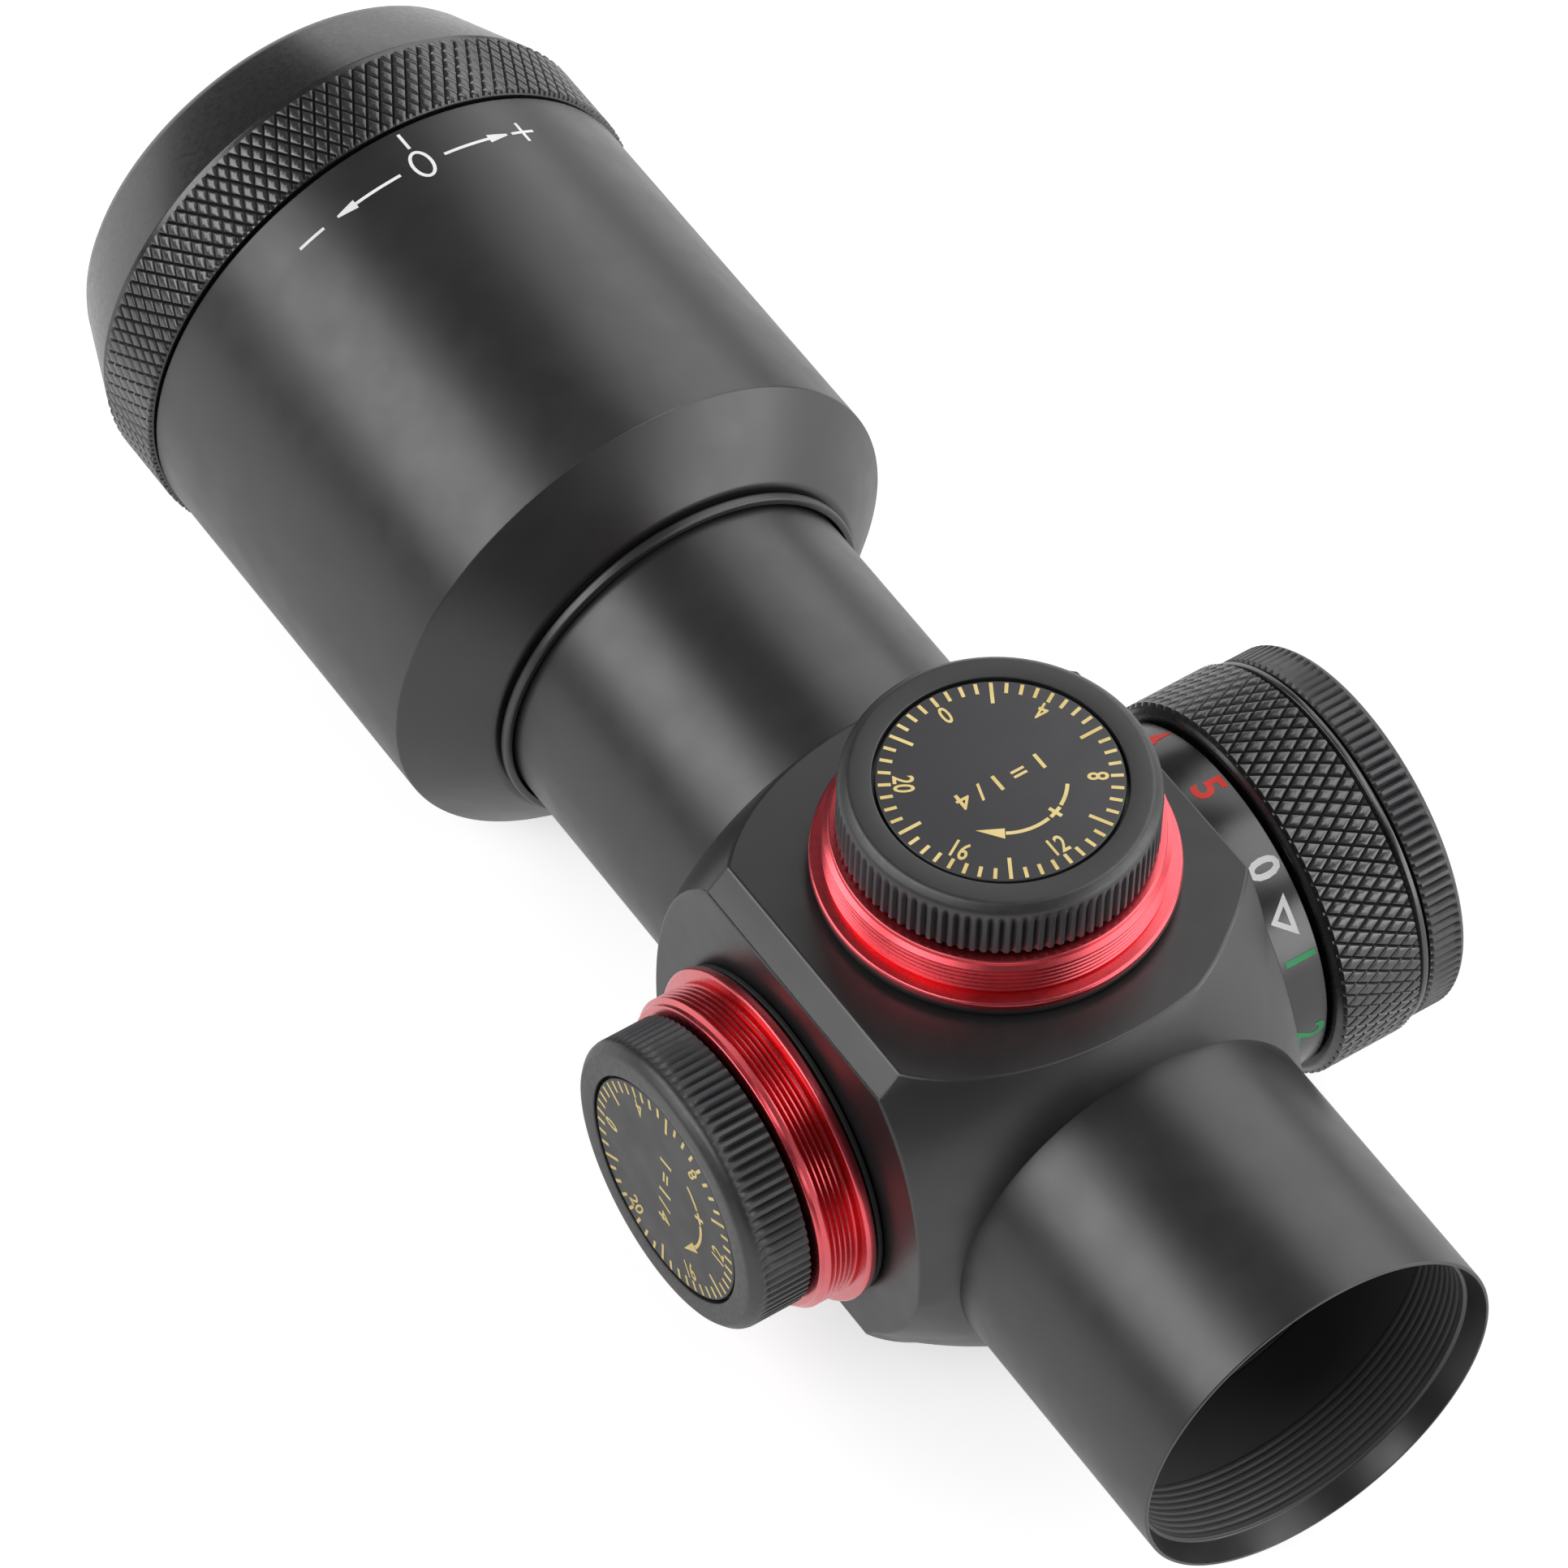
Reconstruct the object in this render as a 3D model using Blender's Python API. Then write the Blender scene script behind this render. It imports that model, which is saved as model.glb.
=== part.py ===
"""Compact fixed-power sighting telescope with an illuminated reticle, as separate pieces.

+Y runs forward along the optical axis to the objective, +Z goes up through the elevation turret and
+X goes right through the windage turret. The origin is where the turret axes cross the optical axis.
"""

import math

import bmesh
import bpy
from mathutils import Matrix

for leftover in list(bpy.data.objects):
    bpy.data.objects.remove(leftover, do_unlink=True)

MM = 0.001

# Clearances between neighbouring pieces
RUN = 0.3 * MM
SEAT = 0.2 * MM
LENS_GAP = 0.5 * MM
CUT_OVER = 2.0 * MM

# Facets round a turned piece
SHELL_STEPS = 36
RING_STEPS = 24
INNER_STEPS = 16
PIN_STEPS = 8

# Main tube
TUBE_R = 15.0 * MM
TUBE_WALL = 2.4 * MM
TUBE_FRONT = 41.5 * MM
TUBE_REAR = -52.0 * MM
TUBE_EDGE = 0.15 * MM
OBJECTIVE_WALL = 1.4 * MM
OBJECTIVE_DEPTH = 21.5 * MM
MOUTH_WALL = 0.8 * MM
MOUTH_DEPTH = 7.5 * MM
MOUTH_CHAMFER = 0.2 * MM
TUBE_BORE_R = TUBE_R - TUBE_WALL
OBJECTIVE_BORE_R = TUBE_R - OBJECTIVE_WALL
OBJECTIVE_SEAT = TUBE_FRONT - OBJECTIVE_DEPTH
MOUTH_R = TUBE_R - MOUTH_WALL

# Saddle: a turned barrel milled flat on the top, right and left, each flat so far outside the tube
SADDLE_TOP = TUBE_R + 3.3 * MM
SADDLE_RIGHT = TUBE_R + 2.8 * MM
SADDLE_LEFT = TUBE_R + 0.2 * MM
SADDLE_BELLY_R = TUBE_R + 6.8 * MM
SADDLE_CHAMFER = 1.8 * MM
BARREL_ARC_R = 16.0 * MM
BARREL_ARC_RISE = TUBE_R - 4.5 * MM
BARREL_FRONT_CENTRE = 3.2 * MM
BARREL_REAR_CENTRE = -2.3 * MM
BARREL_ARC_POINTS = 5
BELLY_POINTS = 9
BARREL_ROOT = 1.2 * MM

# Objective
OBJECTIVE_EDGE = 3.4 * MM
OBJECTIVE_BULGE_FRONT = 1.5 * MM
OBJECTIVE_BULGE_REAR = 0.8 * MM
OBJECTIVE_RING_WALL = 1.4 * MM
OBJECTIVE_RING_LENGTH = 3.4 * MM

# Eyepiece body and lock ring
EYE_BODY_R = 21.7 * MM
EYE_BODY_WALL = 1.7 * MM
EYE_BODY_LENGTH = 38.55 * MM
EYE_CONE_R = TUBE_R + 1.2 * MM
EYE_CONE_LENGTH = 4.75 * MM
EYE_LIP = 0.3 * MM
TUBE_ENTRY = 11.25 * MM
FIELD_STOP_R = TUBE_R - 1.0 * MM
FIELD_STOP_LENGTH = 3.7 * MM
LOCK_RING_WALL = 0.6 * MM
LOCK_RING_LENGTH = 0.85 * MM
EYE_FRONT = TUBE_REAR + TUBE_ENTRY
EYE_CONE_END = EYE_FRONT - EYE_CONE_LENGTH
EYE_REAR = EYE_FRONT - EYE_BODY_LENGTH
FIELD_STOP_FRONT = TUBE_REAR - RUN
FIELD_STOP_REAR = FIELD_STOP_FRONT - FIELD_STOP_LENGTH

# Diopter ring
DIOPTER_LENGTH = 14.95 * MM
DIOPTER_KNURL_R = EYE_BODY_R + 0.4 * MM
DIOPTER_KNURL_LENGTH = 6.4 * MM
DIOPTER_KNURL_COLUMNS = 40
DIOPTER_KNURL_ROWS = 4
DIOPTER_KNURL_DEPTH = 0.3 * MM
DIOPTER_END_R = EYE_BODY_R - 3.1 * MM
DIOPTER_ROUND_R = 1.6 * MM
DIOPTER_RIM = 0.8 * MM
DIOPTER_LIP_LENGTH = 3.5 * MM
DIOPTER_SLEEVE_LENGTH = 7.2 * MM
DIOPTER_SLEEVE_WALL = 1.4 * MM
DIOPTER_SEAL_THICK = 0.8 * MM
DIOPTER_TRAVEL = 1.2 * MM
DIOPTER_FRONT = EYE_REAR - RUN
DIOPTER_REAR = DIOPTER_FRONT - DIOPTER_LENGTH
DIOPTER_LIP_R = DIOPTER_END_R - DIOPTER_ROUND_R - DIOPTER_RIM
DIOPTER_LIP_FRONT = DIOPTER_REAR + DIOPTER_LIP_LENGTH
SLEEVE_OUTER_R = EYE_BODY_R - EYE_BODY_WALL - RUN
SLEEVE_END = DIOPTER_FRONT + DIOPTER_SLEEVE_LENGTH
SLEEVE_BORE_END = SLEEVE_END + DIOPTER_SEAL_THICK + 2 * SEAT

# Ocular lens cell, free to travel between the field stop and the diopter ring's lip
CELL_BORE_R = SLEEVE_OUTER_R - DIOPTER_SLEEVE_WALL
CELL_R = CELL_BORE_R - RUN
CELL_WALL = 2.1 * MM
CELL_FRONT = FIELD_STOP_REAR - DIOPTER_TRAVEL - 2.8 * MM
CELL_REAR = DIOPTER_LIP_FRONT + DIOPTER_TRAVEL + 0.85 * MM
CELL_SHOULDER_R = CELL_R - CELL_WALL - 1.3 * MM
CELL_SHOULDER_LENGTH = 2.0 * MM
FIELD_LENS_EDGE = 2.2 * MM
FIELD_LENS_BULGE_FRONT = 1.0 * MM
FIELD_LENS_BULGE_REAR = 1.6 * MM
EYE_LENS_EDGE = 2.4 * MM
EYE_LENS_BULGE_FRONT = 1.8 * MM
EYE_LENS_BULGE_REAR = 1.2 * MM
OCULAR_RING_LENGTH = 3.1 * MM
OCULAR_WALL = 1.3 * MM
CELL_RECESS = 0.4 * MM
KEY_PIN_R = 0.8 * MM
KEY_PIN_PLACE = CELL_FRONT - 4.0 * MM
KEY_PIN_GRIP = 1.6 * MM
KEY_SLOT_DEPTH = 1.3 * MM

# Erector tube on its gimbal
GIMBAL_PLACE = -40.0 * MM
GIMBAL_RING_HALF = 2.2 * MM
GIMBAL_RING_WALL = 1.9 * MM
GIMBAL_SIDE_GAP = 0.4 * MM
GIMBAL_PIN_R = 0.8 * MM
GIMBAL_PIN_GRIP = 1.5 * MM
ERECTOR_CLEAR = 3.6 * MM
ERECTOR_WALL = 1.4 * MM
ERECTOR_TAIL = 6.0 * MM
ERECTOR_LIP = 2.3 * MM
ERECTOR_COLLAR_HALF = 3.0 * MM
ERECTOR_SHOULDER = 1.2 * MM
ERECTOR_SHOULDER_LENGTH = 1.0 * MM
ERECTOR_LENS_STOP = -13.5 * MM
ERECTOR_LENS_EDGE = 2.0 * MM
ERECTOR_LENS_BULGE = 0.9 * MM
ERECTOR_SPACER_LENGTH = 16.0 * MM
ERECTOR_RING_LENGTH = 2.5 * MM
ERECTOR_RING_WALL = 1.1 * MM
ERECTOR_R = TUBE_BORE_R - ERECTOR_CLEAR
ERECTOR_BORE_R = ERECTOR_R - ERECTOR_WALL
ERECTOR_COLLAR_R = TUBE_BORE_R - GIMBAL_RING_WALL - 2 * GIMBAL_SIDE_GAP
ERECTOR_SHOULDER_R = ERECTOR_BORE_R - ERECTOR_SHOULDER
ERECTOR_REAR = GIMBAL_PLACE - ERECTOR_TAIL
ERECTOR_STACK = SEAT + 2 * ERECTOR_LENS_EDGE + ERECTOR_SPACER_LENGTH + 3 * LENS_GAP + ERECTOR_RING_LENGTH
ERECTOR_FRONT = ERECTOR_LENS_STOP + ERECTOR_STACK + ERECTOR_LIP
RETICLE_STOP = GIMBAL_PLACE + 9.5 * MM
RETICLE_THICK = 1.5 * MM
LAMP_R = 0.75 * MM
LAMP_LENGTH = 1.8 * MM
LEAD_R = 0.4 * MM
SPRING_HALF_LENGTH = 13.0 * MM
SPRING_PLACE = -2.0 * MM
SPRING_HALF_WIDTH = 2.5 * MM
SPRING_THICK = 0.4 * MM
SPRING_POINTS = 8

# Turrets, the same on both axes, with the base and its chamber sized round the cap
CAP_R = 11.6 * MM
WELL_R = 6.0 * MM
SPIGOT_DEPTH = 3.4 * MM
BASE_TOP_R = CAP_R + 0.8 * MM
BASE_WAIST_R = BASE_TOP_R - 0.2 * MM
BASE_FLANGE_R = BASE_TOP_R + 1.0 * MM
BASE_FLANGE_THICK = 0.9 * MM
BASE_HEIGHT = 4.1 * MM
BASE_FLOOR = 0.6 * MM
GASKET_R = BASE_FLANGE_R + 0.4 * MM
GASKET_THICK = 0.4 * MM
CHAMBER_R = CAP_R - 2.6 * MM
SPINDLE_R = 3.7 * MM
SPINDLE_FLANGE_R = CHAMBER_R - 0.7 * MM
SPINDLE_FLANGE_THICK = 2.8 * MM
SPINDLE_NECK_R = 4.0 * MM
SPINDLE_NECK_ENTRY = 1.9 * MM
SPINDLE_WEB = 1.0 * MM
CAP_TOP_R = CAP_R - 0.7 * MM
CAP_HEIGHT = 5.1 * MM
CAP_EDGE = 1.0 * MM
CAP_WALL = 1.4 * MM
CAP_BOSS_WALL = 1.9 * MM
CAP_RIBS = 24
CAP_RIB_DEPTH = 0.35 * MM
DIAL_R = CAP_TOP_R - 2.0 * MM
DIAL_THICK = 0.65 * MM
DIAL_RECESS = 0.95 * MM
CAP_SCREW_R = 1.2 * MM
CAP_SCREW_HEAD_R = 2.9 * MM
CAP_SCREW_HEAD = 0.5 * MM
CLICK_BALL_R = 0.8 * MM
CLICK_GAP = 0.15 * MM
CLICK_SPRING_R = 0.7 * MM
CLICK_SPRING_COILS = 2
CLICK_HOLE_START = 4.4 * MM
PLUNGER_R = 1.6 * MM
PLUNGER_HEAD_R = 2.6 * MM
PLUNGER_HEAD = 2.5 * MM
PLUNGER_TOP_OVER_FLAT = 1.4 * MM
PLUNGER_BORE_SPARE = 1.1 * MM

# Illumination knob on the left, sized round its coin cell
CELL_BATTERY_R = 10.0 * MM
CELL_BATTERY_THICK = 3.2 * MM
GRIP_BORE_R = CELL_BATTERY_R + 0.4 * MM
GRIP_ENTRY = 2.3 * MM
GRIP_ENTRY_R = GRIP_BORE_R + 1.6 * MM
GRIP_LENGTH = 8.2 * MM
GRIP_EDGE = 0.4 * MM
SLEEVE_BORE_R = GRIP_ENTRY_R + RUN
SLEEVE_WALL = 1.7 * MM
SLEEVE_R = SLEEVE_BORE_R + SLEEVE_WALL
SLEEVE_LENGTH = 5.2 * MM
SLEEVE_FLANGE_THICK = 1.3 * MM
HUB_SPIGOT_R = 5.0 * MM
HUB_SPIGOT_DEPTH = 2.2 * MM
HUB_LEAD_R = 1.6 * MM
HUB_DISC_R = SLEEVE_BORE_R - 1.9 * MM
HUB_DISC_THICK = 1.0 * MM
HUB_STEM_R = HUB_DISC_R - 2.4 * MM
HUB_STEM_WALL = 1.4 * MM
HUB_GROOVE_DEPTH = 0.6 * MM
CLIP_THICK = 0.6 * MM
CLIP_R = HUB_STEM_R + 1.6 * MM
CLIP_SPLIT = 4.0 * MM
BOARD_R = GRIP_BORE_R - 0.5 * MM
BOARD_THICK = 1.0 * MM
GRIP_R = SLEEVE_R + 1.0 * MM
GRIP_LIP_R = GRIP_R - 0.3 * MM
GRIP_LIP_LENGTH = 0.8 * MM
GRIP_KNURL_COLUMNS = 36
GRIP_KNURL_ROWS = 4
GRIP_KNURL_DEPTH = 0.35 * MM
CONTACT_FOOT_R = 6.0 * MM
CONTACT_TIP_R = 2.4 * MM
CONTACT_THICK = 0.35 * MM
BATTERY_CAP_R = GRIP_R - 0.5 * MM
BATTERY_CAP_THICK = 3.0 * MM
BATTERY_CAP_EDGE = 0.9 * MM
BATTERY_CAP_ENTRY = 2.1 * MM
BATTERY_CAP_RIBS = 24
BATTERY_CAP_RIB_DEPTH = 0.3 * MM
BATTERY_SEAL_WIDTH = 0.8 * MM
BATTERY_SEAL_DEPTH = 0.9 * MM
COIN_SLOT_WIDTH = 1.8 * MM
COIN_SLOT_DEPTH = 1.0 * MM
COIN_SLOT_LENGTH = 17.0 * MM


def finish(name, colour, roughness, metallic):
    """One painted, anodised or plain surface."""
    made = bpy.data.materials.new(name)
    made.use_nodes = True
    shader = made.node_tree.nodes["Principled BSDF"]
    shader.inputs["Base Color"].default_value = (*colour, 1.0)
    shader.inputs["Roughness"].default_value = roughness
    shader.inputs["Metallic"].default_value = metallic
    return made


BLACK = finish("black_anodised", (0.018, 0.018, 0.019), 0.42, 0.6)
RED = finish("red_anodised", (0.42, 0.008, 0.016), 0.28, 0.9)
DIAL_BLACK = finish("dial_black", (0.02, 0.02, 0.024), 0.5, 0.1)
RUBBER = finish("black_rubber", (0.012, 0.012, 0.012), 0.7, 0.0)
BRASS = finish("brass", (0.62, 0.44, 0.17), 0.35, 1.0)
STEEL = finish("steel", (0.55, 0.55, 0.56), 0.3, 1.0)
GLASS = finish("coated_glass", (0.3, 0.42, 0.5), 0.05, 0.0)
BOARD_GREEN = finish("board_green", (0.02, 0.13, 0.05), 0.5, 0.0)
LAMP_RED = finish("lamp_red", (0.6, 0.02, 0.02), 0.3, 0.0)
LEAD_SKIN = finish("lead_skin", (0.35, 0.02, 0.02), 0.6, 0.0)


def axis_empty(name, turn, parent=None, height=0.0):
    """An empty whose local Z is one of the object's axes."""
    empty = bpy.data.objects.new(name, None)
    empty.empty_display_size = TUBE_R
    empty.rotation_euler = turn
    empty.location = (0.0, 0.0, height)
    empty.parent = parent
    bpy.context.collection.objects.link(empty)
    return empty


QUARTER = math.pi / 2
OPTICAL = axis_empty("optical_axis", (-QUARTER, 0.0, 0.0))
ELEVATION = axis_empty("elevation_axis", (0.0, 0.0, 0.0))
WINDAGE = axis_empty("windage_axis", (0.0, QUARTER, 0.0))
KNOB = axis_empty("knob_axis", (0.0, -QUARTER, 0.0))
GIMBAL = axis_empty("gimbal_centre", (0.0, 0.0, 0.0), OPTICAL, GIMBAL_PLACE)

# Directions round the optical axis, in the optical empty's own turn
RIGHT = 0.0
LEFT = math.pi
UP = -QUARTER
DOWN = QUARTER
DOWN_LEFT = 0.75 * math.pi


def piece(name, bm, owner, paint, turn=0.0):
    """A finished mesh as a named object on its axis. Heights in the mesh are counted from the origin."""
    bmesh.ops.remove_doubles(bm, verts=bm.verts, dist=1e-7)
    bmesh.ops.recalc_face_normals(bm, faces=bm.faces)
    mesh = bpy.data.meshes.new(name)
    bm.to_mesh(mesh)
    bm.free()
    mesh.shade_smooth()
    mesh.set_sharp_from_angle(angle=math.radians(35))
    obj = bpy.data.objects.new(name, mesh)
    obj.parent = owner
    obj.rotation_euler = (0.0, 0.0, turn)
    if owner is GIMBAL:
        obj.location = (0.0, 0.0, -GIMBAL_PLACE)
    if paint:
        mesh.materials.append(paint)
    bpy.context.collection.objects.link(obj)
    return obj


def spun(outline, steps):
    """The outline's (radius, height) points turned round local Z. One that starts on the axis stays open."""
    bm = bmesh.new()
    points = [bm.verts.new((radius, 0.0, height)) for radius, height in outline]
    edges = [bm.edges.new(pair) for pair in zip(points, points[1:])]
    if outline[0][0] > 0.0:
        edges.append(bm.edges.new((points[-1], points[0])))
    bmesh.ops.spin(
        bm,
        geom=points + edges,
        axis=(0, 0, 1),
        cent=(0, 0, 0),
        angle=2 * math.pi,
        steps=steps,
        use_merge=True,
    )
    bmesh.ops.remove_doubles(bm, verts=bm.verts, dist=1e-7)
    return bm


def turned(name, outline, owner, paint, steps=INNER_STEPS):
    return piece(name, spun(outline, steps), owner, paint)


def ring(name, inner, outer, low, high, owner, paint, steps=INNER_STEPS):
    return turned(name, [(inner, low), (outer, low), (outer, high), (inner, high)], owner, paint, steps)


def rod(radius, low, high):
    """The outline of a plain round bar."""
    return [(0.0, low), (radius, low), (radius, high), (0.0, high)]


def radial(name, outline, owner, paint, height, turn, steps=PIN_STEPS):
    """A turned piece that points outwards from the axis, at a height and a direction."""
    bm = spun(outline, steps)
    lie = Matrix.Translation((0.0, 0.0, height)) @ Matrix.Rotation(QUARTER, 4, "Y")
    bmesh.ops.transform(bm, matrix=lie, verts=bm.verts)
    return piece(name, bm, owner, paint, turn)


def block(low, high):
    """A box between two corners."""
    bm = bmesh.new()
    bmesh.ops.create_cube(bm, size=1.0)
    size = [b - a for a, b in zip(low, high)]
    middle = [(a + b) / 2 for a, b in zip(low, high)]
    bmesh.ops.scale(bm, vec=size, verts=bm.verts)
    bmesh.ops.translate(bm, vec=middle, verts=bm.verts)
    return bm


def combine(target, helper, operation):
    """Adds the helper to the target, cuts it out of it, or keeps what they share."""
    helper.hide_render = True
    helper.display_type = "WIRE"
    step = target.modifiers.new(helper.name, "BOOLEAN")
    step.operation = operation
    step.solver = "EXACT"
    step.object = helper


def arc(centre_radius, centre_height, size, start, end, count):
    """Points of a round stretch in a turned outline. Angle 0 points outwards, a quarter turn up the axis."""
    angles = [start + (end - start) * i / (count - 1) for i in range(count)]
    return [(centre_radius + size * math.cos(a), centre_height + size * math.sin(a)) for a in angles]


def flute(bm, radius, low, high, columns, depth, rows=0):
    """Sinks every second column for ribs or, with rows, every second grid point for a diamond knurl."""
    near = 0.01 * MM
    for vert in bm.verts:
        away = math.hypot(vert.co.x, vert.co.y)
        if abs(away - radius) > near or not low - near < vert.co.z < high + near:
            continue
        count = round(math.atan2(vert.co.y, vert.co.x) / (2 * math.pi / columns))
        if rows:
            count += round((vert.co.z - low) / (high - low) * rows)
        if count % 2:
            vert.co.x *= 1 - depth / radius
            vert.co.y *= 1 - depth / radius


def lens_outline(radius, rear, edge, bulge_rear, bulge_front):
    """A lens with two bowed faces, its edge running from rear to rear + edge."""

    def face(height, bulge, points=2):
        return [(radius * i / points, height + bulge * (1 - (i / points) ** 2)) for i in range(points + 1)]

    return face(rear, -bulge_rear) + face(rear + edge, bulge_front)[::-1]


def lens(name, radius, rear, edge, bulge_rear, bulge_front, owner):
    return turned(name, lens_outline(radius, rear, edge, bulge_rear, bulge_front), owner, GLASS)


def saddle_blank():
    """The turned barrel, milled to its flats: a section drawn across the tube and run along it."""
    sweep = math.acos((TUBE_R - BARREL_ROOT - BARREL_ARC_RISE) / BARREL_ARC_R)
    front = arc(BARREL_ARC_RISE, BARREL_FRONT_CENTRE, BARREL_ARC_R, sweep, 0.0, BARREL_ARC_POINTS)
    rear = arc(BARREL_ARC_RISE, BARREL_REAR_CENTRE, BARREL_ARC_R, 0.0, -sweep, BARREL_ARC_POINTS)
    outline = [(0.0, front[0][1])] + front + rear + [(0.0, rear[-1][1])]
    barrel = turned("saddle_barrel", outline, OPTICAL, None, SHELL_STEPS)

    right_end = -math.acos(SADDLE_RIGHT / SADDLE_BELLY_R)
    left_end = -math.pi + math.acos(SADDLE_LEFT / SADDLE_BELLY_R)
    section = [
        (SADDLE_RIGHT - SADDLE_CHAMFER, SADDLE_TOP),
        (SADDLE_RIGHT, SADDLE_TOP - SADDLE_CHAMFER),
        *arc(0.0, 0.0, SADDLE_BELLY_R, right_end, left_end, BELLY_POINTS),
        (-SADDLE_LEFT, SADDLE_TOP),
    ]
    bm = bmesh.new()
    reach = front[0][1] + CUT_OVER
    face = bm.faces.new([bm.verts.new((x, -z, -reach)) for x, z in section])
    grown = bmesh.ops.extrude_face_region(bm, geom=[face])["geom"]
    moved = [part for part in grown if isinstance(part, bmesh.types.BMVert)]
    bmesh.ops.translate(bm, vec=(0.0, 0.0, 2 * reach), verts=moved)
    milled = piece("saddle_milled", bm, OPTICAL, None)
    combine(milled, barrel, "INTERSECT")
    return milled


def main_tube():
    """Tube and saddle in one piece, bored through, with wells for the turrets, hub and gimbal pins."""
    outer = [
        (0.0, TUBE_REAR),
        (TUBE_R, TUBE_REAR),
        (TUBE_R, TUBE_FRONT - TUBE_EDGE),
        (TUBE_R - TUBE_EDGE, TUBE_FRONT),
        (0.0, TUBE_FRONT),
    ]
    tube = turned("main_tube", outer, OPTICAL, BLACK, SHELL_STEPS)
    combine(tube, saddle_blank(), "UNION")
    thread_end = TUBE_FRONT - MOUTH_DEPTH
    bore = [
        (0.0, TUBE_REAR - CUT_OVER),
        (TUBE_BORE_R, TUBE_REAR - CUT_OVER),
        (TUBE_BORE_R, OBJECTIVE_SEAT),
        (OBJECTIVE_BORE_R, OBJECTIVE_SEAT),
        (OBJECTIVE_BORE_R, thread_end),
        (MOUTH_R, thread_end),
        (MOUTH_R, TUBE_FRONT - MOUTH_CHAMFER),
        (MOUTH_R + MOUTH_CHAMFER, TUBE_FRONT),
        (MOUTH_R + MOUTH_CHAMFER, TUBE_FRONT + CUT_OVER),
        (0.0, TUBE_FRONT + CUT_OVER),
    ]
    combine(tube, turned("bore_cutter", bore, OPTICAL, None, RING_STEPS), "DIFFERENCE")
    inside = TUBE_BORE_R - CUT_OVER
    wells = (
        ("elevation_well", ELEVATION, WELL_R, SADDLE_TOP),
        ("windage_well", WINDAGE, WELL_R, SADDLE_RIGHT),
        ("hub_well", KNOB, HUB_SPIGOT_R + RUN, SADDLE_LEFT),
    )
    for name, axis, radius, flat in wells:
        well = turned(name, rod(radius, inside, flat + CUT_OVER), axis, None)
        combine(tube, well, "DIFFERENCE")
    for name, turn in (("left_pin_hole", LEFT), ("right_pin_hole", RIGHT)):
        hole = rod(GIMBAL_PIN_R + RUN, inside, TUBE_BORE_R + GIMBAL_PIN_GRIP + RUN)
        combine(tube, radial(name, hole, OPTICAL, None, GIMBAL_PLACE, turn), "DIFFERENCE")


def objective():
    radius = OBJECTIVE_BORE_R - RUN
    rear = OBJECTIVE_SEAT + SEAT
    edge = OBJECTIVE_EDGE
    lens("objective_lens", radius, rear, edge, OBJECTIVE_BULGE_REAR, OBJECTIVE_BULGE_FRONT, OPTICAL)
    low = rear + edge + LENS_GAP
    high = low + OBJECTIVE_RING_LENGTH
    ring("objective_ring", radius - OBJECTIVE_RING_WALL, radius, low, high, OPTICAL, BLACK, RING_STEPS)


def eyepiece_body():
    """Cylinder with a front cone, stopped against the end of the main tube."""
    outline = [
        (TUBE_R + RUN, EYE_FRONT),
        (EYE_CONE_R - EYE_LIP, EYE_FRONT),
        (EYE_CONE_R, EYE_FRONT - EYE_LIP),
        (EYE_BODY_R, EYE_CONE_END),
        (EYE_BODY_R, EYE_REAR),
        (SLEEVE_OUTER_R + RUN, EYE_REAR),
        (SLEEVE_OUTER_R + RUN, SLEEVE_BORE_END),
        (CELL_BORE_R, SLEEVE_BORE_END),
        (CELL_BORE_R, FIELD_STOP_REAR),
        (FIELD_STOP_R, FIELD_STOP_REAR),
        (FIELD_STOP_R, FIELD_STOP_FRONT),
        (TUBE_R + RUN, FIELD_STOP_FRONT),
    ]
    body = turned("eyepiece_body", outline, OPTICAL, BLACK, SHELL_STEPS)
    hole = rod(KEY_PIN_R + RUN, CELL_BORE_R - RUN, CELL_BORE_R + KEY_PIN_GRIP + RUN)
    combine(body, radial("key_pin_hole", hole, OPTICAL, None, KEY_PIN_PLACE, DOWN), "DIFFERENCE")
    inner = TUBE_R + SEAT
    outer = inner + LOCK_RING_WALL
    low = EYE_FRONT + RUN
    ring("eyepiece_lock_ring", inner, outer, low, low + LOCK_RING_LENGTH, OPTICAL, BLACK, SHELL_STEPS)
    slot_floor = CELL_R - KEY_SLOT_DEPTH
    pin = rod(KEY_PIN_R, slot_floor + RUN, CELL_BORE_R + KEY_PIN_GRIP)
    radial("focus_key_pin", pin, OPTICAL, STEEL, KEY_PIN_PLACE, DOWN)


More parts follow.
